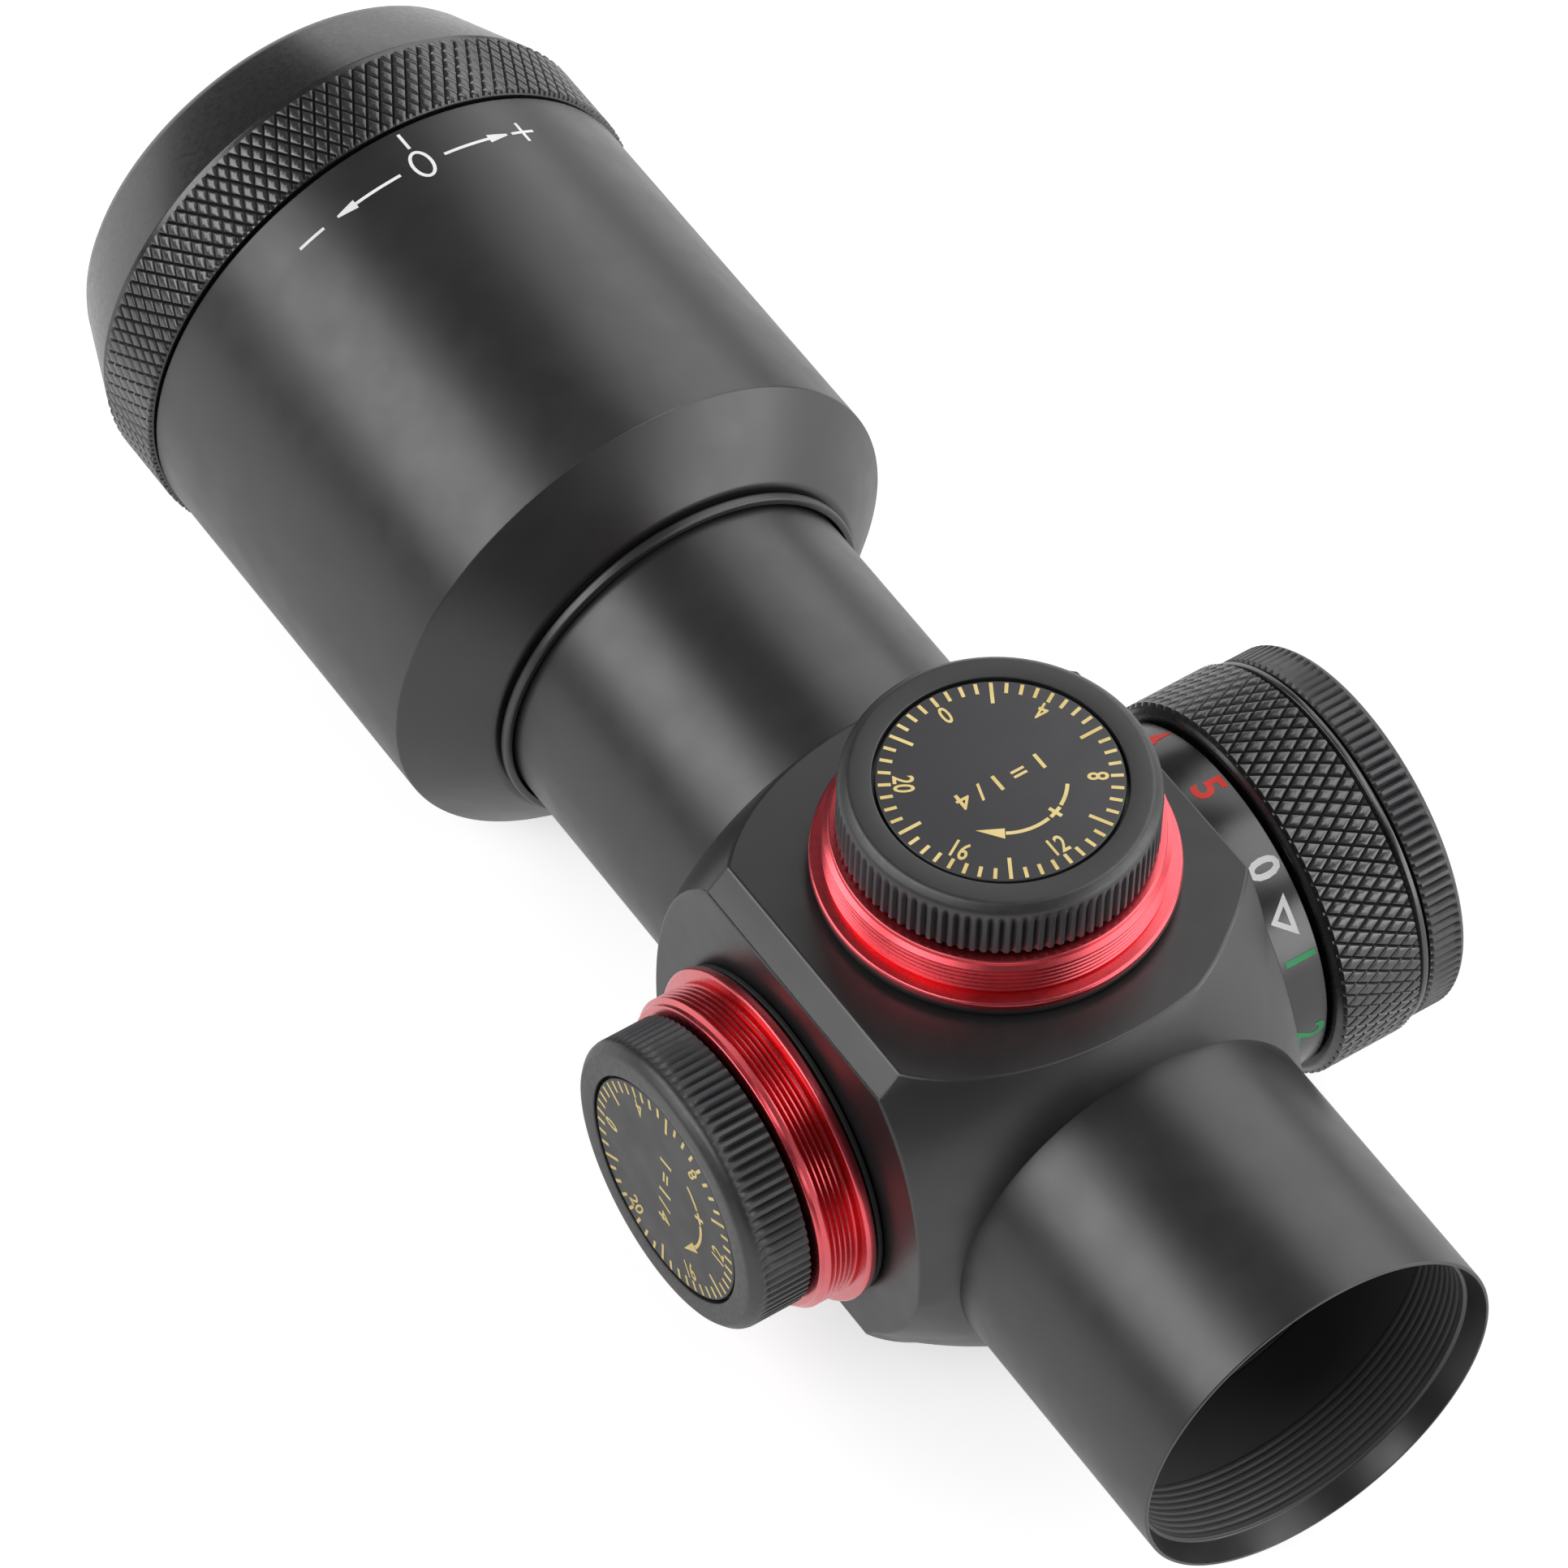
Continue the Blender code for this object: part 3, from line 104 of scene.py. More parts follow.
def fit(name, bm, material, body, nodes=(), sharp=30):
    """Makes a finished piece, which rides on a body and stands for CAD nodes."""
    mesh = bpy.data.meshes.new(name)
    bm.to_mesh(mesh)
    bm.free()
    mesh.shade_smooth()
    mesh.set_sharp_from_angle(angle=math.radians(sharp))
    mesh.materials.append(material)
    made = bpy.data.objects.new(name, mesh)
    bpy.context.collection.objects.link(made)
    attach(made, body)
    if nodes:
        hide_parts(*nodes)
    return made


def finish(name, metallic=0.0, ior=1.5, rough=0.5):
    """A new surface: its material, node tree, shader and the piece's own coordinates."""
    material = bpy.data.materials.new(name)
    material.use_nodes = True
    tree = material.node_tree
    shader = tree.nodes["Principled BSDF"]
    shader.inputs["Metallic"].default_value = metallic
    shader.inputs["IOR"].default_value = ior
    shader.inputs["Roughness"].default_value = rough
    place = tree.nodes.new("ShaderNodeTexCoord").outputs["Object"]
    return material, tree, shader, place


def noise(tree, place, spot, stretch=(1.0, 1.0, 1.0), detail=2.0):
    """Cloudy pattern with spots of that size, stretched where a scale is small."""
    lay = tree.nodes.new("ShaderNodeMapping")
    lay.inputs["Scale"].default_value = stretch
    tree.links.new(place, lay.inputs["Vector"])
    cloud = tree.nodes.new("ShaderNodeTexNoise")
    cloud.inputs["Scale"].default_value = 1.0 / (spot * MM)
    cloud.inputs["Detail"].default_value = detail
    tree.links.new(lay.outputs["Vector"], cloud.inputs["Vector"])
    return cloud.outputs["Fac"]


def spread(tree, source, low, high, start=0.3, end=0.7):
    """A pattern turned into numbers between low and high."""
    remap = tree.nodes.new("ShaderNodeMapRange")
    remap.inputs["From Min"].default_value = start
    remap.inputs["From Max"].default_value = end
    remap.inputs["To Min"].default_value = low
    remap.inputs["To Max"].default_value = high
    tree.links.new(source, remap.inputs["Value"])
    return remap.outputs["Result"]


def tones(tree, source, dark, light, start=0.3, end=0.7):
    """A pattern turned into colours between dark and light."""
    ramp = tree.nodes.new("ShaderNodeValToRGB")
    ramp.color_ramp.elements[0].position = start
    ramp.color_ramp.elements[0].color = (*dark, 1.0)
    ramp.color_ramp.elements[1].position = end
    ramp.color_ramp.elements[1].color = (*light, 1.0)
    tree.links.new(source, ramp.inputs["Fac"])
    return ramp.outputs["Color"]


def emboss(tree, shader, source, height, strength=1.0):
    """Raises the surface by a pattern."""
    bump = tree.nodes.new("ShaderNodeBump")
    bump.inputs["Distance"].default_value = height * MM
    bump.inputs["Strength"].default_value = strength
    tree.links.new(source, bump.inputs["Height"])
    tree.links.new(bump.outputs["Normal"], shader.inputs["Normal"])


ANODISED_IOR = 1.68


def anodised(name, dark, light, smooth, rough, grain):
    """Bead-blasted black anodising: fine pits, slow changes of sheen and a little change of tone."""
    material, tree, shader, place = finish(name, ior=ANODISED_IOR)
    patches = noise(tree, place, spot=14.0)
    tree.links.new(tones(tree, patches, dark, light), shader.inputs["Base Color"])
    sheen = noise(tree, place, spot=3.0)
    tree.links.new(spread(tree, sheen, smooth, rough), shader.inputs["Roughness"])
    emboss(tree, shader, noise(tree, place, grain), height=0.006, strength=0.5)
    return material


black_body = anodised(
    "black_body",
    dark=(0.010, 0.010, 0.0105),
    light=(0.014, 0.014, 0.0145),
    smooth=0.33,
    rough=0.39,
    grain=0.12,
)
bore_black = anodised(
    "bore_black",
    dark=(0.05, 0.05, 0.05),
    light=(0.07, 0.07, 0.07),
    smooth=0.6,
    rough=0.7,
    grain=0.2,
)

TUBE_R = 15.0
TUBE_REAR = -52.0
TUBE_FRONT = 41.5
BORE_R = 12.6
LENS_BORE_R = 13.6
LENS_SHOULDER = 20.0
MOUTH_R = 14.05
MOUTH_END = 28.4
RIM_END = 39.7
DULL_BORE_START = 39.55
THREAD_START = 39.4
THREAD_TURNS = 9
THREAD_PITCH = 0.6
THREAD_DEPTH = 0.08
BELLY_R = 21.8
ARC_R = 16.0
ARC_RISE = 10.5
ARC_STEPS = 16
CROWN_R = ARC_RISE + ARC_R
REAR_ARC = -2.3
FRONT_ARC = 3.2
TOP_FLAT = 18.3
RIGHT_FLAT = 17.8
LEFT_FLAT = 15.2
FLAT_CHAMFER = 1.8
CORNER_EASE = 3.1
EASE_FRONT = 3.0
EASE_HEIGHT = 6.0
EASE_RIGHT, EASE_LEFT, EASE_FADE = 95.0, 18.0, 30.0
EDGE_ROUND = 0.16
EDGE_ANGLE = 0.2
SADDLE_REACH = 20


def barrel(centre, first, last):
    """Turned end of the saddle between two radii, negative on the side that faces back."""
    start = math.copysign(math.acos((abs(first) - ARC_RISE) / ARC_R), first)
    end = math.copysign(math.acos((abs(last) - ARC_RISE) / ARC_R), last)
    turns = [start + (end - start) * i / ARC_STEPS for i in range(ARC_STEPS + 1)]
    return [(ARC_RISE + ARC_R * math.cos(a), centre + ARC_R * math.sin(a), 0.0) for a in turns]


def tube_outline(crown):
    """Section of tube, saddle and bore. The crown is there above, where flats are milled, but not below."""
    thread = []
    root = MOUTH_R + THREAD_DEPTH
    for turn in range(THREAD_TURNS):
        crest = THREAD_START - THREAD_PITCH * turn
        thread += [(MOUTH_R, crest, 0.0), (MOUTH_R, crest - 0.2, 0.0)]
        thread += [(root, crest - 0.36, 0.0), (root, crest - 0.44, 0.0)]
    top = []
    if crown:
        top = [*barrel(REAR_ARC, -BELLY_R, -CROWN_R), *barrel(FRONT_ARC, CROWN_R, BELLY_R)]
    return outline(
        (BORE_R, TUBE_REAR, 0.0),
        (TUBE_R, TUBE_REAR, 0.2),
        *barrel(REAR_ARC, -TUBE_R, -BELLY_R),
        *top,
        *barrel(FRONT_ARC, BELLY_R, TUBE_R),
        (TUBE_R, TUBE_FRONT, 0.18),
        (MOUTH_R + 0.68, TUBE_FRONT, 0.06),
        (MOUTH_R + 0.25, RIM_END, 0.1),
        (MOUTH_R, RIM_END - 0.1, 0.06),
        *thread,
        (MOUTH_R, MOUTH_END, 0.0),
        (LENS_BORE_R, MOUTH_END, 0.15),
        (LENS_BORE_R, LENS_SHOULDER, 0.0),
        (BORE_R, LENS_SHOULDER, 0.1),
    )


def ease_corners(bm):
    """Takes the saddle's front back on its belly and left side, where its corners are rounder."""
    for vert in bm.verts:
        away = math.hypot(vert.co.x, vert.co.z)
        if vert.co.y < EASE_FRONT * MM or away < TUBE_R * MM:
            continue
        lean = math.degrees(math.atan2(vert.co.x, vert.co.z))
        past = lean - EASE_RIGHT if lean > 0.0 else -lean - EASE_LEFT
        turned_away = min(max(past / EASE_FADE, 0.0), 1.0)
        depth = min(max((away / MM - TUBE_R) / EASE_HEIGHT, 0.0), 1.0)
        vert.co.y -= CORNER_EASE * MM * depth * turned_away


belly_start = math.acos(RIGHT_FLAT / BELLY_R)
belly_end = math.pi - math.acos(LEFT_FLAT / BELLY_R)
upper = lathe(tube_outline(True), 160, belly_end, FULL_TURN - belly_end + belly_start)
lower = lathe(tube_outline(False), 60, belly_start, belly_end - belly_start)
for half in (upper, lower):
    half.transform(OPTICAL)
    ease_corners(half)
corner_x, corner_z = RIGHT_FLAT - FLAT_CHAMFER / 2, TOP_FLAT - FLAT_CHAMFER / 2
flats = (
    (Vector((0.0, 0.0, TOP_FLAT)) * MM, Vector((0, 0, 1))),
    (Vector((corner_x, 0.0, corner_z)) * MM, Vector((1, 0, 1)).normalized()),
    (Vector((RIGHT_FLAT, 0.0, 0.0)) * MM, Vector((1, 0, 0))),
    (Vector((-LEFT_FLAT, 0.0, 0.0)) * MM, Vector((-1, 0, 0))),
)
for place, facing in flats:
    everything = upper.verts[:] + upper.edges[:] + upper.faces[:]
    cut = bmesh.ops.bisect_plane(
        upper,
        geom=everything,
        dist=SAME_POINT,
        plane_co=place,
        plane_no=facing,
        clear_outer=True,
    )["geom_cut"]
    if facing.z > 0.0:
        rim = [part for part in cut if isinstance(part, bmesh.types.BMEdge)]
        bmesh.ops.contextual_create(upper, geom=rim)
tube = gather([upper, lower])
bmesh.ops.remove_doubles(tube, verts=tube.verts, dist=ON_PLANE)
bmesh.ops.holes_fill(tube, edges=[edge for edge in tube.edges if edge.is_boundary], sides=0)

# Points that lie very near a milled flat are drawn onto its edge, which is then broken.
milled = set()
for vert in tube.verts:
    if any(abs((vert.co - place).dot(facing)) < ON_PLANE for place, facing in flats):
        milled.add(vert)
close = {}
for vert in milled:
    for edge in vert.link_edges:
        other = edge.other_vert(vert)
        if other not in milled and edge.calc_length() < EDGE_ROUND * MM:
            close[other] = vert
bmesh.ops.weld_verts(tube, targetmap=close)
bmesh.ops.recalc_face_normals(tube, faces=tube.faces)


def on_saddle(vert):
    """Says if a point stands out from the tube, in the part where the saddle is."""
    return math.hypot(vert.co.x, vert.co.z) > (TUBE_R + 0.1) * MM and abs(vert.co.y) < SADDLE_REACH * MM


rims = []
for edge in tube.edges:
    if edge.is_manifold and edge.calc_face_angle() > EDGE_ANGLE and all(on_saddle(v) for v in edge.verts):
        rims.append(edge)
bmesh.ops.bevel(
    tube,
    geom=rims,
    offset=EDGE_ROUND * MM,
    offset_type="OFFSET",
    segments=2,
    profile=0.5,
    affect="EDGES",
    material=-1,
    clamp_overlap=False,
)
shell = fit("tube_shell", tube, black_body, "housing", ["main_tube"], sharp=9)
shell.data.materials.append(bore_black)
for side in shell.data.polygons:
    faces_in = side.normal.dot(Vector((side.center.x, 0.0, side.center.z))) < 0.0
    if faces_in and side.center.y < DULL_BORE_START * MM:
        side.material_index = 1

# Objective: a coated glass lens against a shoulder in the tube, held by a threaded ring of black aluminium
# with two notches for a ring spanner.
LENS_RINGS = 12
RING_ROUND = 0.12
NOTCH_HALF = 5.5
NOTCH_DEPTH = 0.9


def coated_glass(name, film):
    """Clear glass with a film, in nanometres, that tints what it reflects, and faint dust."""
    material, tree, shader, place = finish(name, ior=1.52)
    shader.inputs["Base Color"].default_value = (0.95, 0.98, 0.97, 1.0)
    shader.inputs["Transmission Weight"].default_value = 1.0
    shader.inputs["Thin Film Thickness"].default_value = film
    shader.inputs["Thin Film IOR"].default_value = 1.38
    dust = noise(tree, place, spot=0.9)
    tree.links.new(spread(tree, dust, 0.0, 0.06), shader.inputs["Roughness"])
    return material


def lens(radius, rear, edge, bulge_rear, bulge_front):
    """A lens with two bowed faces and a plain edge from rear to rear + edge."""
    shares = [i / LENS_RINGS for i in range(LENS_RINGS + 1)]
    back = [(radius * t, rear - bulge_rear * (1 - t * t)) for t in shares]
    front = [(radius * t, rear + edge + bulge_front * (1 - t * t)) for t in reversed(shares)]
    bm = lathe(back + front, steps=96)
    bm.transform(OPTICAL)
    return bm


def notched_ring(inner, outer, low, high, face):
    """A threaded retaining ring. Two spanner notches are sunk in the end that faces out."""
    corners = ((inner, low), (outer, low), (outer, high), (inner, high))
    ring = lathe(outline(*[(*corner, RING_ROUND) for corner in corners]), steps=120)
    for vert in ring.verts:
        turn = math.degrees(math.atan2(vert.co.y, vert.co.x)) % 180.0
        if abs(turn - 90.0) < NOTCH_HALF and abs(vert.co.z - face * MM) < (RING_ROUND + 0.01) * MM:
            vert.co.z += math.copysign(NOTCH_DEPTH * MM, (low + high) / 2 - face)
    ring.transform(OPTICAL)
    return ring


objective_glass = coated_glass("objective_glass", film=520.0)
black_ring = anodised(
    "black_ring",
    dark=(0.008, 0.008, 0.008),
    light=(0.012, 0.012, 0.012),
    smooth=0.42,
    rough=0.52,
    grain=0.2,
)
front_lens = lens(radius=13.3, rear=20.2, edge=3.4, bulge_rear=0.8, bulge_front=1.5)
fit("front_lens", front_lens, objective_glass, "housing", ["objective_lens"])
front_ring = notched_ring(inner=11.9, outer=13.3, low=24.1, high=27.5, face=27.5)
fit("front_lens_ring", front_ring, black_ring, "housing", ["objective_ring"])

# Erector: a black tube with two lenses, a spacer, a blackened brass ring and the reticle, hung on a brass
# gimbal ring with steel pins. A bent steel leaf presses it against the turret plungers, and a small lamp
# lights the reticle.
LATHE_MARKS = (1.0, 0.2, 1.0)


def plain_metal(name, dark, light, smooth, rough):
    """Turned bare metal with fine tool marks."""
    material, tree, shader, place = finish(name, metallic=1.0)
    patches = noise(tree, place, spot=4.0)
    tree.links.new(tones(tree, patches, dark, light), shader.inputs["Base Color"])
    marks = noise(tree, place, spot=0.15, stretch=LATHE_MARKS, detail=4.0)
    tree.links.new(spread(tree, marks, smooth, rough), shader.inputs["Roughness"])
    emboss(tree, shader, marks, height=0.006, strength=0.6)
    return material


def moulded(name, dark, light, smooth, rough, grain, height):
    """Rubber, lacquer, paint or plastic with a fine grain."""
    material, tree, shader, place = finish(name, ior=1.48)
    patches = noise(tree, place, spot=2.5)
    tree.links.new(tones(tree, patches, dark, light), shader.inputs["Base Color"])
    fine = noise(tree, place, grain)
    tree.links.new(spread(tree, fine, smooth, rough), shader.inputs["Roughness"])
    emboss(tree, shader, fine, height)
    return material


def dress(material, *names):
    """Gives carried-over CAD nodes a better surface."""
    for name in names:
        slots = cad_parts[name].data.materials
        slots.clear()
        slots.append(material)


brass = plain_metal(
    "turned_brass",
    dark=(0.52, 0.35, 0.12),
    light=(0.66, 0.47, 0.19),
    smooth=0.26,
    rough=0.42,
)
steel = plain_metal(
    "turned_steel",
    dark=(0.46, 0.46, 0.47),
    light=(0.6, 0.6, 0.61),
    smooth=0.2,
    rough=0.36,
)
inner_glass = coated_glass("inner_glass", film=430.0)
lamp_red = moulded(
    "lamp_lens",
    dark=(0.5, 0.01, 0.01),
    light=(0.68, 0.03, 0.02),
    smooth=0.12,
    rough=0.25,
    grain=0.3,
    height=0.004,
)
lead_skin = moulded(
    "lead_sleeve",
    dark=(0.28, 0.012, 0.012),
    light=(0.38, 0.025, 0.02),
    smooth=0.5,
    rough=0.65,
    grain=0.1,
    height=0.01,
)
dress(black_ring, "erector_tube", "erector_spacer")
dress(brass, "gimbal_ring", "reticle_ring")
dress(steel, "gimbal_pin_left", "gimbal_pin_right", "gimbal_pin_top", "gimbal_pin_bottom", "erector_spring")
dress(inner_glass, "reticle_glass")
dress(lamp_red, "reticle_lamp")
dress(lead_skin, "lamp_lead")
for end, rear in (("front", 5.7), ("rear", -13.3)):
    relay = lens(7.3, rear, edge=2.0, bulge_rear=0.9, bulge_front=0.9)
    fit("relay_lens_" + end, relay, inner_glass, "erector", ["erector_lens_" + end])
relay_ring = notched_ring(inner=6.2, outer=7.3, low=8.2, high=10.7, face=10.7)
fit("relay_lens_ring", relay_ring, black_ring, "erector", ["erector_ring"])

# Eyepiece: an aluminium cylinder with a cone towards the tube, screwed on against a thin lock ring. The focus
# marks on top are cut and filled with white paint.
EYE_R = 21.7
EYE_FRONT = -40.75
EYE_REAR = -79.3
CONE_R = 16.2
CONE_END = -45.5
COLLAR_R = 15.3
COLLAR_END = -52.3
STOP_R = 14.0
CELL_BORE_R = 18.3
CELL_BORE_FRONT = -56.0
SLEEVE_BORE_R = 20.0
SLEEVE_BORE_FRONT = -71.2
BEAD_IN, BEAD_OUT = 15.2, 15.8
BEAD_REAR, BEAD_FRONT = -40.45, -39.6
body = lathe(
    outline(
        (COLLAR_R, EYE_FRONT, 0.05),
        (CONE_R, EYE_FRONT, 0.3),
        (EYE_R, CONE_END, 0.12),
        (EYE_R, EYE_REAR, 0.15),
        (SLEEVE_BORE_R, EYE_REAR, 0.05),
        (SLEEVE_BORE_R, SLEEVE_BORE_FRONT, 0.0),
        (CELL_BORE_R, SLEEVE_BORE_FRONT, 0.0),
        (CELL_BORE_R, CELL_BORE_FRONT, 0.0),
        (STOP_R, CELL_BORE_FRONT, 0.0),
        (STOP_R, COLLAR_END, 0.0),
        (COLLAR_R, COLLAR_END, 0.0),
    ),
    steps=192,
)
body.transform(OPTICAL)
fit("eyepiece_shell", body, black_body, "housing", ["eyepiece_body"])
bead = lathe(
    outline(
        (BEAD_IN, BEAD_REAR, 0.1),
        (BEAD_OUT, BEAD_REAR, 0.28),
        (BEAD_OUT, BEAD_FRONT, 0.28),
        (BEAD_IN, BEAD_FRONT, 0.1),
    ),
    steps=192,
)
bead.transform(OPTICAL)
fit("lock_bead", bead, black_body, "housing", ["eyepiece_lock_ring"])

MARK_DEPTH = 0.02 * MM
MARK_SLICE = 0.35 * MM
MARK_LINE = -75.4
STROKE = 0.26


def thicken(bm):
    """Gives a flat mark a little depth."""
    grown = bmesh.ops.extrude_face_region(bm, geom=bm.faces[:])["geom"]
    raised = [part for part in grown if isinstance(part, bmesh.types.BMVert)]
    bmesh.ops.translate(bm, vec=(0.0, 0.0, MARK_DEPTH), verts=raised)
    bmesh.ops.recalc_face_normals(bm, faces=bm.faces)


def cut_out(points, turn=0.0, across=0.0, along=0.0):
    """A mark from its outline, turned and moved."""
    bm = bmesh.new()
    bm.faces.new([bm.verts.new((x * MM, y * MM, 0.0)) for x, y in points])
    thicken(bm)
    bm.transform(Matrix.Translation((across * MM, along * MM, 0.0)) @ Matrix.Rotation(turn, 4, "Z"))
    return bm


def bar(length, width, turn=0.0, across=0.0, along=0.0):
    """A straight line."""
    x, y = length / 2, width / 2
    return cut_out([(-x, -y), (x, -y), (x, y), (-x, y)], turn, across, along)


def hoop(wide, tall, stroke, sides):
    """An oval or, with three sides, a triangle drawn as a line."""
    bm = bmesh.new()
    bmesh.ops.create_circle(bm, cap_ends=True, radius=0.5 * MM, segments=sides)
    bmesh.ops.scale(bm, vec=(wide, tall, 1.0), verts=bm.verts)
    middle = bm.faces[:]
    bmesh.ops.inset_region(bm, faces=middle, thickness=stroke * MM, use_boundary=True, use_even_offset=True)
    bmesh.ops.delete(bm, geom=middle, context="FACES")
    thicken(bm)
    return bm


def arrow(side):
    """Arrow round the body: a thin shaft with a slim head."""
    start, neck, tip = 1.95, 6.0, 7.7
    shaft, head, point = 0.13, 0.42, 0.1
    upper_side = [(tip, point), (neck, head), (neck, shaft), (start, shaft)]
    lower_side = [(x, -y) for x, y in reversed(upper_side)]
    return cut_out([(side * x, y) for x, y in lower_side + upper_side])


def roll(bm, radius, place, height):
    """Slices a flat mark and rolls it onto a drum round local Z, at a turn and a height."""
    reach = int(max(abs(vert.co.x) for vert in bm.verts) / MARK_SLICE)
    for i in range(-reach, reach + 1):
        everything = bm.verts[:] + bm.edges[:] + bm.faces[:]
        at = (i * MARK_SLICE, 0, 0)
        bmesh.ops.bisect_plane(bm, geom=everything, dist=SAME_POINT / 10, plane_co=at, plane_no=(1, 0, 0))
    for vert in bm.verts:
        turn = place + vert.co.x / (radius * MM)
        away = radius * MM + vert.co.z
        vert.co = (away * math.cos(turn), away * math.sin(turn), height * MM + vert.co.y)
    return bm


def paint(name, dark, light):
    """Filled engraving paint: matte, a little uneven."""
    return moulded(name, dark, light, smooth=0.45, rough=0.6, grain=0.2, height=0.006)


white_paint = paint("white_paint", dark=(0.72, 0.72, 0.71), light=(0.84, 0.84, 0.83))
marks = [
    hoop(wide=1.8, tall=2.8, stroke=0.27, sides=40),
    bar(STROKE, 1.65, along=-2.6),
    arrow(1),
    arrow(-1),
    bar(2.4, STROKE, across=10.2),
    bar(2.1, STROKE, across=-9.2),
    bar(STROKE, 2.1, across=-9.2),
]
scale_marks = roll(gather(marks), EYE_R, -QUARTER, MARK_LINE)
scale_marks.transform(OPTICAL)
fit("focus_marks", scale_marks, white_paint, "housing")

# Ocular: a brass-threaded black lens cell that slides in the eyepiece body on a steel key pin, with a field
# lens, a spacer, the eye lens and a notched ring.
OCULAR_R = 15.6
eye_glass = coated_glass("eye_glass", film=480.0)
dress(black_ring, "ocular_cell", "ocular_spacer")
dress(steel, "focus_key_pin")
middle_lens = lens(OCULAR_R, rear=-64.4, edge=2.2, bulge_rear=1.6, bulge_front=1.0)
fit("middle_lens", middle_lens, inner_glass, "ocular", ["field_lens"])
rear_lens = lens(OCULAR_R, rear=-85.0, edge=2.4, bulge_rear=1.2, bulge_front=1.8)
fit("rear_lens", rear_lens, eye_glass, "ocular", ["eye_lens"])
rear_ring = notched_ring(inner=14.3, outer=OCULAR_R, low=-88.6, high=-85.5, face=-88.6)
fit("rear_lens_ring", rear_ring, black_ring, "ocular", ["ocular_ring"])

# Diopter ring: turned from aluminium, with a diamond knurl rolled round its front and a smooth taper to the
# eye. Its sleeve turns in the eyepiece body against a rubber seal.
KNURL_ROWS = 26
KNURL_SAMPLES = 8
KNURL_DEPTH = 0.26
KNURL_FLANK = 0.8
BAND_SLACK = 0.01 * MM
FOCUS_KNURLS = 118
FOCUS_R = 22.1
FOCUS_LOW, FOCUS_HIGH = -86.0, -79.8
FOCUS_FRONT = -79.6
FOCUS_REAR = -94.55
TAPER_R = 18.75
EYE_HOLE_R = 16.2
EYE_HOLE_END = -91.05
FOCUS_SLEEVE_R = 19.7
FOCUS_SLEEVE_FRONT = -72.4


def knurl_band(radius, low, high):
    """Rows of an outline that a knurl is pressed into."""
    return [(radius, low + (high - low) * i / KNURL_ROWS, 0.0) for i in range(KNURL_ROWS + 1)]


def on_band(vert, radius, low, high):
    """Says if a point lies on a plain band of a turned piece."""
    off = abs(math.hypot(vert.co.x, vert.co.y) - radius * MM)
    return off <= BAND_SLACK and low * MM - BAND_SLACK < vert.co.z < high * MM + BAND_SLACK


def press(vert, depth):
    """Moves a point towards local Z."""
    share = 1.0 - depth * MM / math.hypot(vert.co.x, vert.co.y)
    vert.co.x *= share
    vert.co.y *= share


def knurl(bm, radius, low, high, around):
    """Presses crossed grooves into a band, and keeps how high each point stands."""
    tip = bm.verts.layers.float.new("tip")
    pitch = (high - low) / KNURL_ROWS * KNURL_SAMPLES * MM
    for vert in bm.verts:
        if not on_band(vert, radius, low, high):
            continue
        turn = math.atan2(vert.co.y, vert.co.x) / FULL_TURN * around
        rise = (vert.co.z - low * MM) / pitch
        groove = min(abs(line - round(line)) for line in (turn + rise, turn - rise))
        vert[tip] = min(1.0, groove * KNURL_SAMPLES * KNURL_FLANK)
        press(vert, KNURL_DEPTH * (1.0 - vert[tip]))
    band = [face for face in bm.faces if any(0.0 < vert[tip] for vert in face.verts)]
    bmesh.ops.triangulate(bm, faces=band, quad_method="SHORT_EDGE")


def rubbed_with_painted_highlight(name, ior, dark, light, smooth, rough):
    """Black anodising over a knurl or ribs: plain in the grooves and lighter on what stands up, partly from
    rubbing wear and partly as a painted highlight on the tips.
    """
    material, tree, shader, place = finish(name, ior=ior)
    height = tree.nodes.new("ShaderNodeAttribute")
    height.attribute_name = "tip"
    # Lighter tones on the tips are partly rubbing wear and partly a painted highlight.
    wear_and_painted_highlight = tones(tree, height.outputs["Fac"], dark, light, start=0.1, end=1.0)
    tree.links.new(wear_and_painted_highlight, shader.inputs["Base Color"])
    sheen = noise(tree, place, spot=0.5)
    tree.links.new(spread(tree, sheen, smooth, rough), shader.inputs["Roughness"])
    emboss(tree, shader, noise(tree, place, spot=0.1), height=0.006, strength=0.5)
    return material


# The knurl's tips get a painted highlight on top of some rubbing wear.
black_knurl = rubbed_with_painted_highlight(
    "black_knurl",
    ior=1.8,
    dark=(0.006, 0.006, 0.006),
    light=(0.02, 0.02, 0.021),
    smooth=0.24,
    rough=0.32,
)
rubber = moulded(
    "black_rubber_ring",
    dark=(0.008, 0.008, 0.008),
    light=(0.014, 0.014, 0.014),
    smooth=0.6,
    rough=0.8,
    grain=0.12,
    height=0.02,
)
ring = lathe(
    outline(
        (CELL_BORE_R, FOCUS_SLEEVE_FRONT, 0.0),
        (FOCUS_SLEEVE_R, FOCUS_SLEEVE_FRONT, 0.1),
        (FOCUS_SLEEVE_R, FOCUS_FRONT, 0.0),
        (FOCUS_R - 0.4, FOCUS_FRONT, 0.1),
        *reversed(knurl_band(FOCUS_R, FOCUS_LOW, FOCUS_HIGH)),
        (FOCUS_R - 0.35, FOCUS_LOW - 0.15, 0.0),
        (FOCUS_R - 0.25, FOCUS_LOW - 0.6, 0.1),
        (TAPER_R, FOCUS_REAR, 1.3),
        (EYE_HOLE_R, FOCUS_REAR, 0.3),
        (EYE_HOLE_R, EYE_HOLE_END, 0.0),
        (CELL_BORE_R, EYE_HOLE_END, 0.0),
    ),
    steps=FOCUS_KNURLS * KNURL_SAMPLES,
)
knurl(ring, FOCUS_R, FOCUS_LOW, FOCUS_HIGH, FOCUS_KNURLS)
ring.transform(OPTICAL)
fit("focus_ring", ring, black_knurl, "diopter", ["diopter_ring"])
dress(rubber, "diopter_seal")

